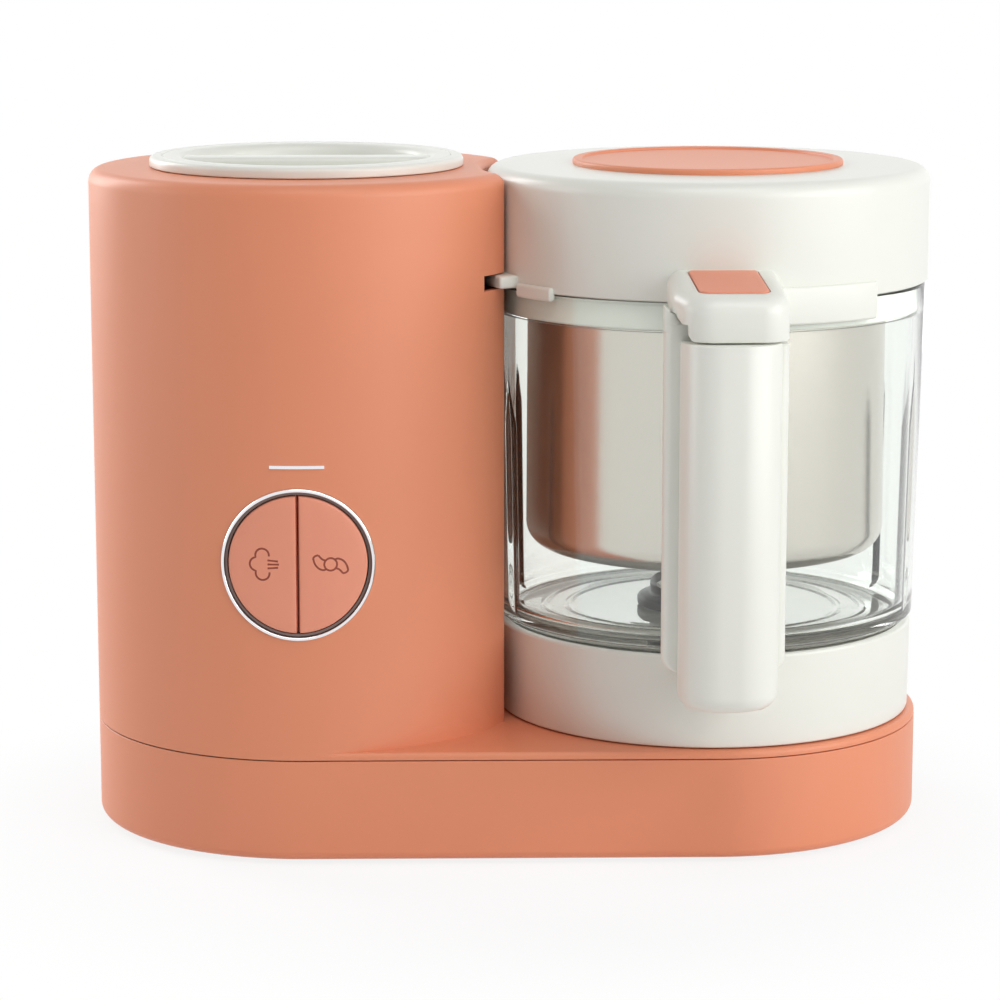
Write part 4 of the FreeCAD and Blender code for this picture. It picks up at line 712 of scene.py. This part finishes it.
ARM_X, ARM_Z, ARM_HUB = 10.4, 0.2, 2.0
hub_line = arc_path(ARM_X, ARM_Z, ARM_HUB, 0, 352.5, 47)
upper = [(1.3, 1.5), (2.4, 1.8), (3.9, 1.15), (5.0, -0.3), (5.5, -2.1)]
lower = [(1.55, -1.25), (2.5, -1.6), (3.2, -2.2), (3.85, -3.0)]
end = [(5.5, -2.1), (4.8, -2.75), (3.85, -3.0)]


def eased(points, steps=6):
    """Smooth path through points, by Catmull-Rom."""
    path = []
    padded = [points[0], *points, points[-1]]
    for i in range(1, len(padded) - 2):
        a, b, c, d = (Vector(p) for p in padded[i - 1 : i + 3])
        for k in range(steps):
            t = k / steps
            square, cube = 2 * a - 5 * b + 4 * c - d, 3 * b - a - 3 * c + d
            path.append(tuple(0.5 * (2 * b + (c - a) * t + square * t**2 + cube * t**3)))
    return path + [points[-1]]


arms = []
for way in (1, -1):
    for line in (upper, lower, end):
        arms.append(bead(eased([(ARM_X + way * x, ARM_Z + way * z) for x, z in line])))
blend_sign = bare("blend_sign", [bead(hub_line, closed=True), *arms])
piece(blend_sign, INK, "blend_button")

# %% [markdown]
# ## The tank cap
#
# The white cap is turned in one sweep: a broad rim with a fine groove, a soft lip, and a bowl
# for the fingertips. A bar is left standing across the bowl, so that two fingers can pinch and
# lift it.

# %% Tank cap
CAP, CAP_BOTTOM, CAP_TOP = 51.5, 218.2, 221.7
PLUG, PLUG_BOTTOM = 43.6, 206.2
RIM_GROOVE, RIM_GROOVE_HALF, RIM_GROOVE_DEPTH = 47.3, 0.3, 0.4
BOWL, BOWL_LOW, BOWL_FLOOR = 40.5, 36.8, 208.4
BAR_REACH, BAR_HALF, BAR_LOW, BAR_TOP = 41.0, 6.0, 207.4, 221.0
cap_profile = rounded(
    [
        (0.0, PLUG_BOTTOM), (PLUG, PLUG_BOTTOM, 1.0), (PLUG, CAP_BOTTOM, 0.6), (CAP, CAP_BOTTOM, 0.5),
        (CAP, CAP_TOP, 1.6), (RIM_GROOVE + RIM_GROOVE_HALF, CAP_TOP, 0.2),
        (RIM_GROOVE, CAP_TOP - RIM_GROOVE_DEPTH), (RIM_GROOVE - RIM_GROOVE_HALF, CAP_TOP, 0.2),
        (BOWL, CAP_TOP, 3.4), (BOWL_LOW, BOWL_FLOOR, 3.0), (0.0, BOWL_FLOOR),
    ]
)
bar_sides = (TOWER_X - BAR_REACH, TOWER_X + BAR_REACH, AXIS_Y - BAR_HALF, AXIS_Y + BAR_HALF)
bar = softened(block(*bar_sides, BAR_LOW, BAR_TOP), 1.6, 5)
cap = bare("cap_moulding", [lathe(cap_profile, TOWER_X)])
carve(cap, [bar], "UNION")
piece(cap, WHITE, "tank_cap", ["tank_cap"])

# %% [markdown]
# ## The jar's collar
#
# The white collar is the foot of the jar. Its skirt hides the bayonet, its floor carries the
# glass on a gasket, and a hub in the middle guides the blade's shaft. All of it is turned.

# %% Collar
COLLAR, COLLAR_IN, COLLAR_LOW, COLLAR_TOP = 69.3, 66.5, 37.6, 67.7
SHELF_LOW, SHELF_TOP = 53.0, 56.0
GUIDE_IN, GUIDE, GUIDE_TOP = 8.0, 12.0, 68.0
HOOK_IN, HOOK, HOOK_LOW, HOOK_TOP = 60.5, 67.9, 38.8, 41.2
collar_profile = rounded(
    [
        (GUIDE_IN, SHELF_LOW), (COLLAR_IN, SHELF_LOW), (COLLAR_IN, COLLAR_LOW, 0.4),
        (COLLAR - 0.3, COLLAR_LOW, 0.7), (COLLAR + 0.2, COLLAR_TOP, 0.9), (COLLAR_IN, COLLAR_TOP, 0.4),
        (COLLAR_IN, SHELF_TOP), (GUIDE, SHELF_TOP), (GUIDE, GUIDE_TOP, 0.5), (GUIDE_IN, GUIDE_TOP),
    ],
    closed=True,
)
hooks = [wedge(HOOK_IN, HOOK, a, a + BAYONET_WIDTH, HOOK_LOW, HOOK_TOP) for a in BAYONET]
collar = bare("collar_skirt", [lathe(collar_profile, JAR_X), *hooks])
piece(collar, WHITE, "jar", ["jar_collar"])

# %% [markdown]
# ## The glass
#
# The jar is pressed glass: thick at the heel, a little wider at the top, with a ledge inside the
# rim for the basket. Upright ribs inside stir the food as it turns. They belong to the same
# wall, so the spun profile is pushed inwards where a rib stands, and they fade out to a point
# near the top. Low rings on the floor catch the light. The glass casts no shadow of its own,
# because clear glass lets the light through.

# %% Glass jar
GLASS_BOTTOM, GLASS_FLOOR, LEDGE, GLASS_TOP = 58.5, 71.0, 171.4, 181.0
GLASS_BORE, GLASS_FOOT, GLASS_RIM, LEDGE_OUT = 12.2, 66.3, 72.2, 70.2
IN_LOW, IN_HIGH = 66.3, 68.6
RIBS = (20.0, -20.0, 160.0, 200.0)
RIB_HALF, RIB_PUSH, RIB_TOP, RIB_FADE, RIB_RISE = 2.6, 1.9, 149.0, 14.0, 4.0
RIB_LOW = GLASS_FLOOR + 0.4
SWELLS, SWELL_HEIGHT, SWELL_STEP = (53.0, 45.0), 0.35, 0.25


def inner_wall(z):
    """Radius of the glass inside, which widens a little upwards."""
    return IN_LOW + (IN_HIGH - IN_LOW) * (z - GLASS_FLOOR) / (LEDGE - GLASS_FLOOR)


def with_ribs(radius, z, angle):
    """Push the inner wall in at a rib; other points stay."""
    if radius > IN_HIGH + 0.1 or z < RIB_LOW:
        return radius
    fade = min(1.0, max(0.0, (RIB_TOP - z) / RIB_FADE), max(0.0, (z - RIB_LOW) / RIB_RISE))
    push = 0.0
    for rib in RIBS:
        away = (math.degrees(angle) - rib + 180.0) % 360.0 - 180.0
        across = abs(math.radians(away)) * radius / (RIB_HALF * max(fade, 0.05))
        push = max(push, RIB_PUSH * fade * max(0.0, 1 - across**1.5))
    return radius - push


outside = rounded(
    [
        (GLASS_BORE, GLASS_BOTTOM), (GLASS_FOOT, GLASS_BOTTOM, 1.5), (GLASS_FOOT, 67.9), (69.9, 70.4, 1.2),
        (GLASS_RIM, GLASS_TOP, 0.8), (LEDGE_OUT, GLASS_TOP, 0.6), (LEDGE_OUT, LEDGE),
    ]
)
inside = [(inner_wall(z), z) for z in [LEDGE, 160, *range(150, 132, -2), 120, 105, 95, 86, 80, 78.5]]
corner = rounded([(inner_wall(78), 78.0), (IN_LOW, GLASS_FLOOR, 6.0), (57.0, GLASS_FLOOR)])[1:-1]
floor_line = []
for middle in SWELLS:
    for k in range(-8, 9):
        swell = SWELL_HEIGHT * math.cos(math.pi * k / 16) ** 2
        floor_line.append((middle - k * SWELL_STEP, GLASS_FLOOR + swell))
glass_profile = outside + inside + corner + floor_line + [(GLASS_BORE, GLASS_FLOOR)]
glass = bare("glass_vessel", [lathe(glass_profile, JAR_X, steps=720, dent=with_ribs)])
piece(glass, GLASS, "jar", ["jar_glass"], crease=50.0)
glass.visible_shadow = False

# %% [markdown]
# ## The blade
#
# A grey hub with a foot flange carries two crossed knives under a domed nut. Only its edge is
# seen, through the bottom of the glass, but it turns with the motor.

# %% Blade hub and nut
SHAFT, FLANGE, HUB_LOW, FLANGE_TOP, HUB_TOP = 4.0, 22.0, 71.5, 74.5, 80.5
NUT, NUT_LOW, NUT_TOP = 8.0, 82.9, 86.4
hub_profile = rounded(
    [
        (SHAFT, HUB_LOW), (FLANGE, HUB_LOW, 0.5), (FLANGE, FLANGE_TOP, 1.2),
        (17.4, FLANGE_TOP + 0.5, 0.8), (18.2, HUB_TOP, 2.6), (SHAFT, HUB_TOP),
    ],
    closed=True,
)
hub = bare("hub_turning", [lathe(hub_profile, JAR_X, steps=128)])
piece(hub, HUB, "blade", ["blade_hub"])
nut_profile = rounded(
    [(0.0, NUT_LOW), (NUT, NUT_LOW, 0.4), (NUT, 85.2, 1.0), (5.0, NUT_TOP, 0.8), (0.0, NUT_TOP)]
)
nut = bare("nut_dome", [lathe(nut_profile, JAR_X, steps=96)])
piece(nut, PLAIN_STEEL, "blade", ["blade_nut"])

# %% [markdown]
# ## The steam basket
#
# The basket is a deep-drawn steel cup with a round bottom corner, and its floor is pierced so
# that steam rises and water drains. The holes stand on circles: Geometry Nodes makes each circle
# of punches, and all of them are cut from the floor at once.

# %% Steam basket
BASKET, BASKET_BOTTOM, BASKET_TOP = 59.5, 92.0, 176.8
SHEET, DRAW = 0.8, 8.0
HOLE, HOLE_PITCH, HOLE_CIRCLES = 2.0, 11.625, (1, 2, 3, 4)
basket_body = frame["nodes"]["steam_basket"]["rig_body"]
basket_profile = rounded(
    [
        (0.0, BASKET_BOTTOM), (BASKET, BASKET_BOTTOM, DRAW), (BASKET, BASKET_TOP, 0.35),
        (BASKET - SHEET, BASKET_TOP, 0.35), (BASKET - SHEET, BASKET_BOTTOM + SHEET, DRAW - SHEET),
        (0.0, BASKET_BOTTOM + SHEET),
    ],
    turn=6.0,
)
basket = bare("basket_pressing", [lathe(basket_profile, JAR_X)])
punch = {
    "Size": (HOLE * MM, 0, 4 * MM), "Finish": STEEL,
    "Place": (JAR_X * MM, AXIS_Y * MM, (BASKET_BOTTOM + SHEET / 2) * MM),
}
punches = copies(
    "punches", RINGS,
    [{"Copies": 6 * k, "Spread": HOLE_PITCH * k * MM, **punch} for k in HOLE_CIRCLES],
)
carve(basket, [punches, rod(HOLE, (JAR_X, AXIS_Y, 90), (JAR_X, AXIS_Y, 96), 20)])
piece(basket, STEEL, basket_body, ["steam_basket"], crease=40.0)

# %% [markdown]
# The basket hangs in a white channel ring, which is pressed on its brim and rests on the ledge
# of the glass. Through the glass it shows as the pale band just under the lid.

# %% Basket ring
RING, RING_LOW, RING_HIGH, LIP = 69.8, 171.8, 177.4, 180.4
LIP_IN, BRIM_WALL, RING_FLOOR = RING - 2.2, BASKET + 2.4, RING_LOW + 1.6
ring_profile = rounded(
    [
        (BASKET, RING_LOW, 0.3), (RING, RING_LOW, 0.8), (RING, LIP, 0.8), (LIP_IN, LIP, 0.5),
        (LIP_IN, RING_FLOOR), (BRIM_WALL, RING_FLOOR), (BRIM_WALL, RING_HIGH, 0.5),
        (BASKET, RING_HIGH, 0.3),
    ],
    closed=True,
)
basket_ring = bare("basket_ring", [lathe(ring_profile, JAR_X)])
piece(basket_ring, WHITE, basket_body, ["basket_rim"])

# %% [markdown]
# ## The lid
#
# The lid is a white cup turned upside down with a small round at its top edge. On its left a
# tongue reaches into the tower's slot, and a block beside the tongue is the stop for the turn. A
# coloured disc is set on top.

# %% Lid shell and disc
LID_IN, LID_UNDER, LID_ROUND, INLET = LID - 2.5, LID_TOP - 2.5, 5.0, 3.0
ROOT, TONGUE, STOP = 72.0, 79.5, 74.5
DISC, DISC_IN, DISC_TOP, DISC_FACE = 44.5, 41.5, 220.4, 219.6
lid_profile = rounded(
    [
        (0.0, LID_UNDER), (LID_IN, LID_UNDER, 2.5), (LID_IN, LID_BOTTOM, 0.3), (LID, LID_BOTTOM, 0.7),
        (LID, LID_TOP, LID_ROUND), (0.0, LID_TOP),
    ],
    turn=6.0,
)
lid = bare("lid_cup", [lathe(lid_profile, JAR_X, steps=240)])
carve(lid, [rod(INLET, (JAR_X - 80, AXIS_Y, PORT_Z), (JAR_X - 60, AXIS_Y, PORT_Z), 32)])
tongue = wedge(ROOT, TONGUE, start=195.0, end=209.8, low=181.7, high=185.7, steps=12)
stop = wedge(ROOT, STOP, start=210.4, end=224.2, low=179.0, high=183.5, steps=16)
carve(lid, [softened(tongue, 0.9, 3), softened(stop, 1.3, 4)], "UNION")
piece(lid, WHITE, "lid", ["lid_shell"])

disc_profile = rounded(
    [
        (0.0, LID_TOP), (DISC, LID_TOP, 0.2), (DISC, DISC_TOP, 0.9), (DISC_IN, DISC_TOP, 0.5),
        (DISC_IN - 0.3, DISC_FACE, 0.3), (0.0, DISC_FACE),
    ]
)
disc = bare("lid_top_disc", [lathe(disc_profile, JAR_X)])
piece(disc, CORAL, "lid", ["lid_disc"])

# %% [markdown]
# ## The hood over the handle
#
# In front the lid carries a hood that slopes down and closes over the top of the handle, so that
# lid and jar lock together. A thin wing runs on to the right. The hood is a stack of rings whose
# height follows the slope. It is hollow on its left, where the handle's post slides out when the
# lid is turned.

# %% Hood
HOOD_TOP, HOOD_BOTTOM, HOOD_SOFT, TILT = 191.5, 174.0, 5.0, math.radians(6.0)
HOOD_LEFT, HOOD_RIGHT, HOOD_FRONT = -18.3, 17.5, -111.2
SHOULDER, NOSE = -98.0, -12.5


def hood_ring(inset, level, drop):
    """Ring of the hood at a fixed level, or at a drop below its sloping top."""
    left, right, front = HOOD_LEFT + inset, HOOD_RIGHT - inset, HOOD_FRONT + inset
    rear = left + 0.5
    outline = rounded(
        [
            (rear, -math.sqrt(ROOT**2 - rear**2)), (left, SHOULDER + inset, 9.0 - inset),
            (NOSE + inset, front, 11.0 - inset), (right, front + 0.8, 9.0 - inset),
            (right, -math.sqrt(ROOT**2 - right**2)),
        ]
    )
    for k in range(1, 12):
        x = right + (rear - right) * k / 12
        outline.append((x, -math.sqrt(ROOT**2 - x * x)))
    ring = []
    for x, y in outline:
        z = level if level is not None else HOOD_TOP - (-y - LID) * math.tan(TILT) - drop
        ring.append((JAR_X + x, AXIS_Y + y, z))
    return ring


hood_rings = [hood_ring(less, HOOD_BOTTOM + rise, 0) for less, rise in ((0.9, 0), (0.25, 0.25), (0, 0.9))]
for sine, cosine in quarter(9):
    hood_rings.append(hood_ring(HOOD_SOFT * (1 - cosine), None, HOOD_SOFT * (1 - sine)))
hood = bare("hood_moulding", [loft(hood_rings)])


# %% [markdown]
# The latch lies in a pocket of the sloping top. Both are the same rounded slab, drawn level and
# then tilted with the slope, the pocket a little larger than the latch.

# %% Latch pocket and latch
def tilted(x, y, z):
    """Turn a level point with the hood's slope, about the top's back edge."""
    turned = Matrix.Rotation(TILT, 3, "X") @ Vector((0.0, y + LID, z - HOOD_TOP))
    return (JAR_X + x, AXIS_Y - LID + turned.y, HOOD_TOP + turned.z)


LATCH_HALF, LATCH_MIDDLE, LATCH_LEAN = 10.7, 0.9, -1.6
LATCH_BACK, LATCH_FRONT, LATCH_EDGE, LATCH_GAP = -74.2, -103.6, 0.6, 0.4


def latch_ring(growth, z):
    """Outline of the latch, or of its pocket, at a height over the sloping top."""
    half, back, front = LATCH_HALF + growth, LATCH_BACK + growth, LATCH_FRONT - growth
    soft, left, right = 3.0 + growth, LATCH_MIDDLE - half, LATCH_MIDDLE + half
    corners = [
        (left, front, soft), (right, front, soft), (right + LATCH_LEAN, back, 0.8),
        (left + LATCH_LEAN, back, 0.8),
    ]
    return [tilted(x, y, HOOD_TOP + z) for x, y in rounded(corners, closed=True)]


pocket = loft([latch_ring(LATCH_GAP, z) for z in (-4.5, 6.0)])
swing = wedge(inside=66.0, outside=103.1, start=180.0, end=276.7, low=170.0, high=182.0, steps=64)
notch_line = [
    (-26.0, 170.0), (-11.4, 170.0), (-11.4, 174.1), (-12.6, 174.5), (-13.3, 175.6), (-13.5, 179.1),
    (-15.3, 179.3), (-16.2, 180.3), (-16.9, 182.0), (-26.0, 182.0),
]
carve(hood, [pocket, swing, slab(notch_line, -112.0, -88.0)])
wing = wedge(ROOT, STOP, start=276.0, end=312.6, low=HOOD_BOTTOM, high=186.0, steps=36)
carve(hood, [softened(wing, 1.0, 4)], "UNION")
piece(hood, WHITE, "lid", ["lid_hood"])

latch_rings = [latch_ring(0.0, z) for z in (-2.6, 0.0)]
for sine, cosine in quarter(6)[1:]:
    latch_rings.append(latch_ring(-LATCH_EDGE * (1 - cosine), LATCH_EDGE * sine))
latch = bare("latch_pad", [loft(latch_rings)])
piece(latch, KEYS, "latch", ["latch_button"])

# %% [markdown]
# ## The handle
#
# The handle is two mouldings screwed together: a back plate that grows out of the collar and
# ends in a post under the hood, and a rounded front that fills the palm. The plate is a stack of
# rounded oblongs, with the post, the neck to the collar and the post's curved tip joined on.

# %% Handle back
SPINE, POST, PLATE_LEFT = 18.0, 10.0, -20.4
PLATE_BACK, PLATE_FRONT, PLATE_SOFT = -94.0, -100.0, 2.4
NECK_HALF, NECK_LOW, NECK_TOP = 13.0, 57.0, 66.5


def plate_ring(less, right, z, back=PLATE_BACK, front=PLATE_FRONT, soft=PLATE_SOFT):
    """Level outline of the plate, made less at both sides."""
    left, right = less + PLATE_LEFT, right - less
    soft = min(soft, (back - front) / 2 - 0.1)
    corners = [(left, front, soft), (right, front, soft), (right, back, soft), (left, back, soft)]
    return [(JAR_X + x, AXIS_Y + y, z) for x, y in rounded(corners, closed=True)]


spine_rings = [plate_ring(9.0, SPINE, 62.0, -94.8, -99.6, 2.0), plate_ring(8.2, SPINE, 62.8)]
for sine, cosine in quarter(7):
    spine_rings.append(plate_ring(6.0 * (1 - sine), SPINE, 69.5 + 5.0 * (1 - cosine)))
spine_rings += [plate_ring(0.0, SPINE, 171.8), plate_ring(0.5, SPINE, 172.4, -94.4, -99.6, 2.2)]
spine = bare("handle_back", [loft(spine_rings)])
post_rings = [plate_ring(0.0, POST, z) for z in (150.0, 178.4)]
post = loft([*post_rings, plate_ring(0.6, POST, 179.0, -94.6, -99.4)])
neck_sides = (JAR_X - NECK_HALF, JAR_X + NECK_HALF, AXIS_Y - 98.5, AXIS_Y - 66.5)
neck = softened(block(*neck_sides, NECK_LOW, NECK_TOP), 2.4, 5)
tip_line = [
    (-20.4, 176.0), (-10.0, 176.0), (-13.8, 178.9), (-15.4, 179.1), (-16.4, 180.1), (-17.1, 181.7),
    (-18.6, 181.8), (-18.6, 182.6), (-20.4, 184.0),
]
tip = softened(slab(tip_line, -99.8, -94.6), 0.4, 2)
carve(spine, [post, neck, tip], "UNION")
piece(spine, WHITE, "jar", ["handle_spine"])

# %% [markdown]
# The front is a D in plan, flat against the plate. Smaller and smaller rings draw in its lower
# end, and a fine round breaks the edge at its top.

# %% Handle front
GRIP, GRIP_LOW, GRIP_HIGH, GRIP_FRONT = 15.5, 59.5, 173.5, -114.0
PALM = 13.0


def grip_ring(less_side, less_front, z):
    """Level outline of the front, made less at its sides and in front."""
    soft = PALM - max(less_side, less_front) * 0.6
    half, front = GRIP - less_side, GRIP_FRONT + less_front
    corners = [(-half, front, soft), (half, front, soft), (half, PLATE_FRONT, 0.3), (-half, PLATE_FRONT, 0.3)]
    return [(JAR_X + x, AXIS_Y + y, z) for x, y in rounded(corners, closed=True, turn=5.0)]


grip_rings = []
for sine, cosine in quarter(9):
    less, rise = 1 - sine, 1 - cosine
    grip_rings.append(grip_ring(4.5 * less, 5.0 * less, GRIP_LOW + 5.5 * rise))
for less, drop in ((0.0, 0.7), (0.2, 0.2), (0.7, 0.0)):
    grip_rings.append(grip_ring(less, less, GRIP_HIGH - drop))
grip = bare("handle_front", [loft(grip_rings)])
piece(grip, WHITE, "jar", ["handle_grip"])

# %% [markdown]
# ## Pieces that keep their CAD shape
#
# Feet, screws, the motor, the belt drive, the boiler and the seals are right as they are. Each
# takes the finish of its material slot in the record. Only the well round the buttons is paler
# than other dark plastic: painted light, a lighter colour that stands in for the light its deep
# ring doesn't get.

# %% Finishes of the CAD nodes
FINISHES = {
    "coral_shell": CORAL, "white_shell": WHITE, "clear_glass": GLASS, "basket_steel": STEEL,
    "steel": PLAIN_STEEL, "chrome": CHROME, "dark_plastic": DARK, "rubber": RUBBER,
    "clear_rubber": CLEAR_RUBBER, "heater_alloy": HEATER, "brass": BRASS, "board": BOARD,
}
slot_of = {part["node"]: part["material_slot"] for part in frame["record"]["subparts"]}
kept = [name for name, node in frame["nodes"].items() if not node.hide_render]
for name in kept:
    node = frame["nodes"][name]
    node.data.materials.clear()
    # The button well gets the paler dark plastic, painted light for its shaded recess.
    node.data.materials.append(WELL_PAINTED_LIGHT if name == "button_well" else FINISHES[slot_of[name]])
print("CAD nodes shown:", len(kept))

# %% [markdown]
# ## Stage, light and camera
#
# The object stands on a plain white floor in front of white. What the camera, a reflection or
# the glass sees of the surroundings is white, while the light itself comes from softboxes and a
# weak fill. The floor keeps a soft shadow close to the object and turns to plain white further
# out.

# %% Floor and world
def seen_rays(tree):
    """1 on rays from the camera, from a reflection or through glass, and 0 on light rays."""
    path = tree.nodes.new("ShaderNodeLightPath")
    total = path.outputs["Is Camera Ray"]
    for name in ("Is Glossy Ray", "Is Transmission Ray"):
        add = tree.nodes.new("ShaderNodeMath")
        add.operation, add.use_clamp = "ADD", True
        tree.links.new(total, add.inputs[0])
        tree.links.new(path.outputs[name], add.inputs[1])
        total = add.outputs[0]
    return total


floor_mesh = bpy.data.meshes.new("floor")
floor_mesh.from_pydata([(-6, -6, 0), (6, -6, 0), (6, 6, 0), (-6, 6, 0)], [], [(0, 1, 2, 3)])
floor = bpy.data.objects.new("floor", floor_mesh)
scene.collection.objects.link(floor)
floor_white = finish_of("floor_white", (0.9, 0.9, 0.9, 1.0), 0.9, grain=40, bump=0.0, tone=0.005)
floor_mesh.materials.append(floor_white)
tree = floor_white.node_tree
link = tree.links.new
kinds = ("TexCoord", "VectorMath", "MapRange", "Math", "Emission", "MixShader")
spot, away, fade, part, glow, mixed = (tree.nodes.new(f"ShaderNode{kind}") for kind in kinds)
away.operation, part.operation, fade.interpolation_type = "LENGTH", "MULTIPLY", "SMOOTHSTEP"
for name, value in (("From Min", 0.12), ("From Max", 0.22), ("To Min", 0.85), ("To Max", 1.0)):
    fade.inputs[name].default_value = value
link(spot.outputs["Object"], away.inputs[0])
link(away.outputs["Value"], fade.inputs["Value"])
link(fade.outputs["Result"], part.inputs[0])
link(seen_rays(tree), part.inputs[1])
link(part.outputs[0], mixed.inputs["Fac"])
link(tree.nodes["Principled BSDF"].outputs["BSDF"], mixed.inputs[1])
link(glow.outputs["Emission"], mixed.inputs[2])
link(mixed.outputs["Shader"], tree.nodes["Material Output"].inputs["Surface"])

world = bpy.data.worlds.new("studio")
scene.world = world
world.use_nodes = True
sky = world.node_tree
sky.nodes.clear()
kinds = ("Background", "Background", "MixShader", "OutputWorld")
fill, white, mixed, out = (sky.nodes.new(f"ShaderNode{kind}") for kind in kinds)
fill.inputs["Strength"].default_value, white.inputs["Strength"].default_value = 0.12, 1.0
fill.inputs["Color"].default_value = white.inputs["Color"].default_value = (1.0, 1.0, 1.0, 1.0)
sky.links.new(seen_rays(sky), mixed.inputs["Fac"])
sky.links.new(fill.outputs["Background"], mixed.inputs[1])
sky.links.new(white.outputs["Background"], mixed.inputs[2])
sky.links.new(mixed.outputs["Shader"], out.inputs["Surface"])


# %% [markdown]
# Softboxes light it. The key stands to the right and is so wide that the handle's shadow on the
# tower dissolves. Two strips on the left draw the tower's left edge, and between them and the
# key the tower has its darkest band. A light above models the tops, and a weak broad panel
# behind lifts the inside of the glass. A small strip low behind the jar mirrors itself in the
# glass floor.

# %% Lamps and camera
def softbox(name, place, target, width, height, power):
    """Flat lamp at a place, turned to a target, in metres and watts."""
    lamp = bpy.data.lights.new(name, "AREA")
    lamp.shape, lamp.size, lamp.size_y, lamp.energy = "RECTANGLE", width, height, power
    holder = bpy.data.objects.new(name, lamp)
    scene.collection.objects.link(holder)
    holder.location = place
    holder.rotation_mode = "QUATERNION"
    holder.rotation_quaternion = (Vector(target) - Vector(place)).to_track_quat("-Z", "Y")


AIM = (0, 0, 0.12)
softbox("key_right", (1.09, -0.74, 0.6), AIM, 1.4, 1.0, 14.2)
softbox("side_left", (-1.33, -0.12, 0.53), AIM, 0.6, 1.0, 4.6)
softbox("rim_left", (-1.01, 0.85, 0.6), AIM, 0.5, 1.0, 9.5)
softbox("top_front", (0.11, -0.65, 1.36), AIM, 1.0, 0.8, 5.6)
softbox("backdrop", (0.0, 1.35, 0.75), (0, 0, 0.2), 2.4, 1.4, 3.0)
softbox("low_strip", (0.09, 0.36, 0.145), (0.065, 0.02, 0.071), 0.3, 0.08, 0.07)

FOCAL_LENGTH, SENSOR_WIDTH = 125.25, 36.0
CAMERA_PLACE, CAMERA_VIEW = (-0.02436, -1.12568, 0.32047), (0.01818, 0.98273, -0.18414)
lens = bpy.data.cameras.new("camera")
lens.lens, lens.sensor_width = FOCAL_LENGTH, SENSOR_WIDTH
camera = bpy.data.objects.new("camera", lens)
scene.collection.objects.link(camera)
camera.location = CAMERA_PLACE
camera.rotation_mode = "QUATERNION"
camera.rotation_quaternion = Vector(CAMERA_VIEW).to_track_quat("-Z", "Y")
scene.camera = camera
scene.view_settings.view_transform = "Standard"

# %% [markdown]
# ## The end
#
# The view layer is brought up to date.

# %% Last update
bpy.context.view_layer.update()
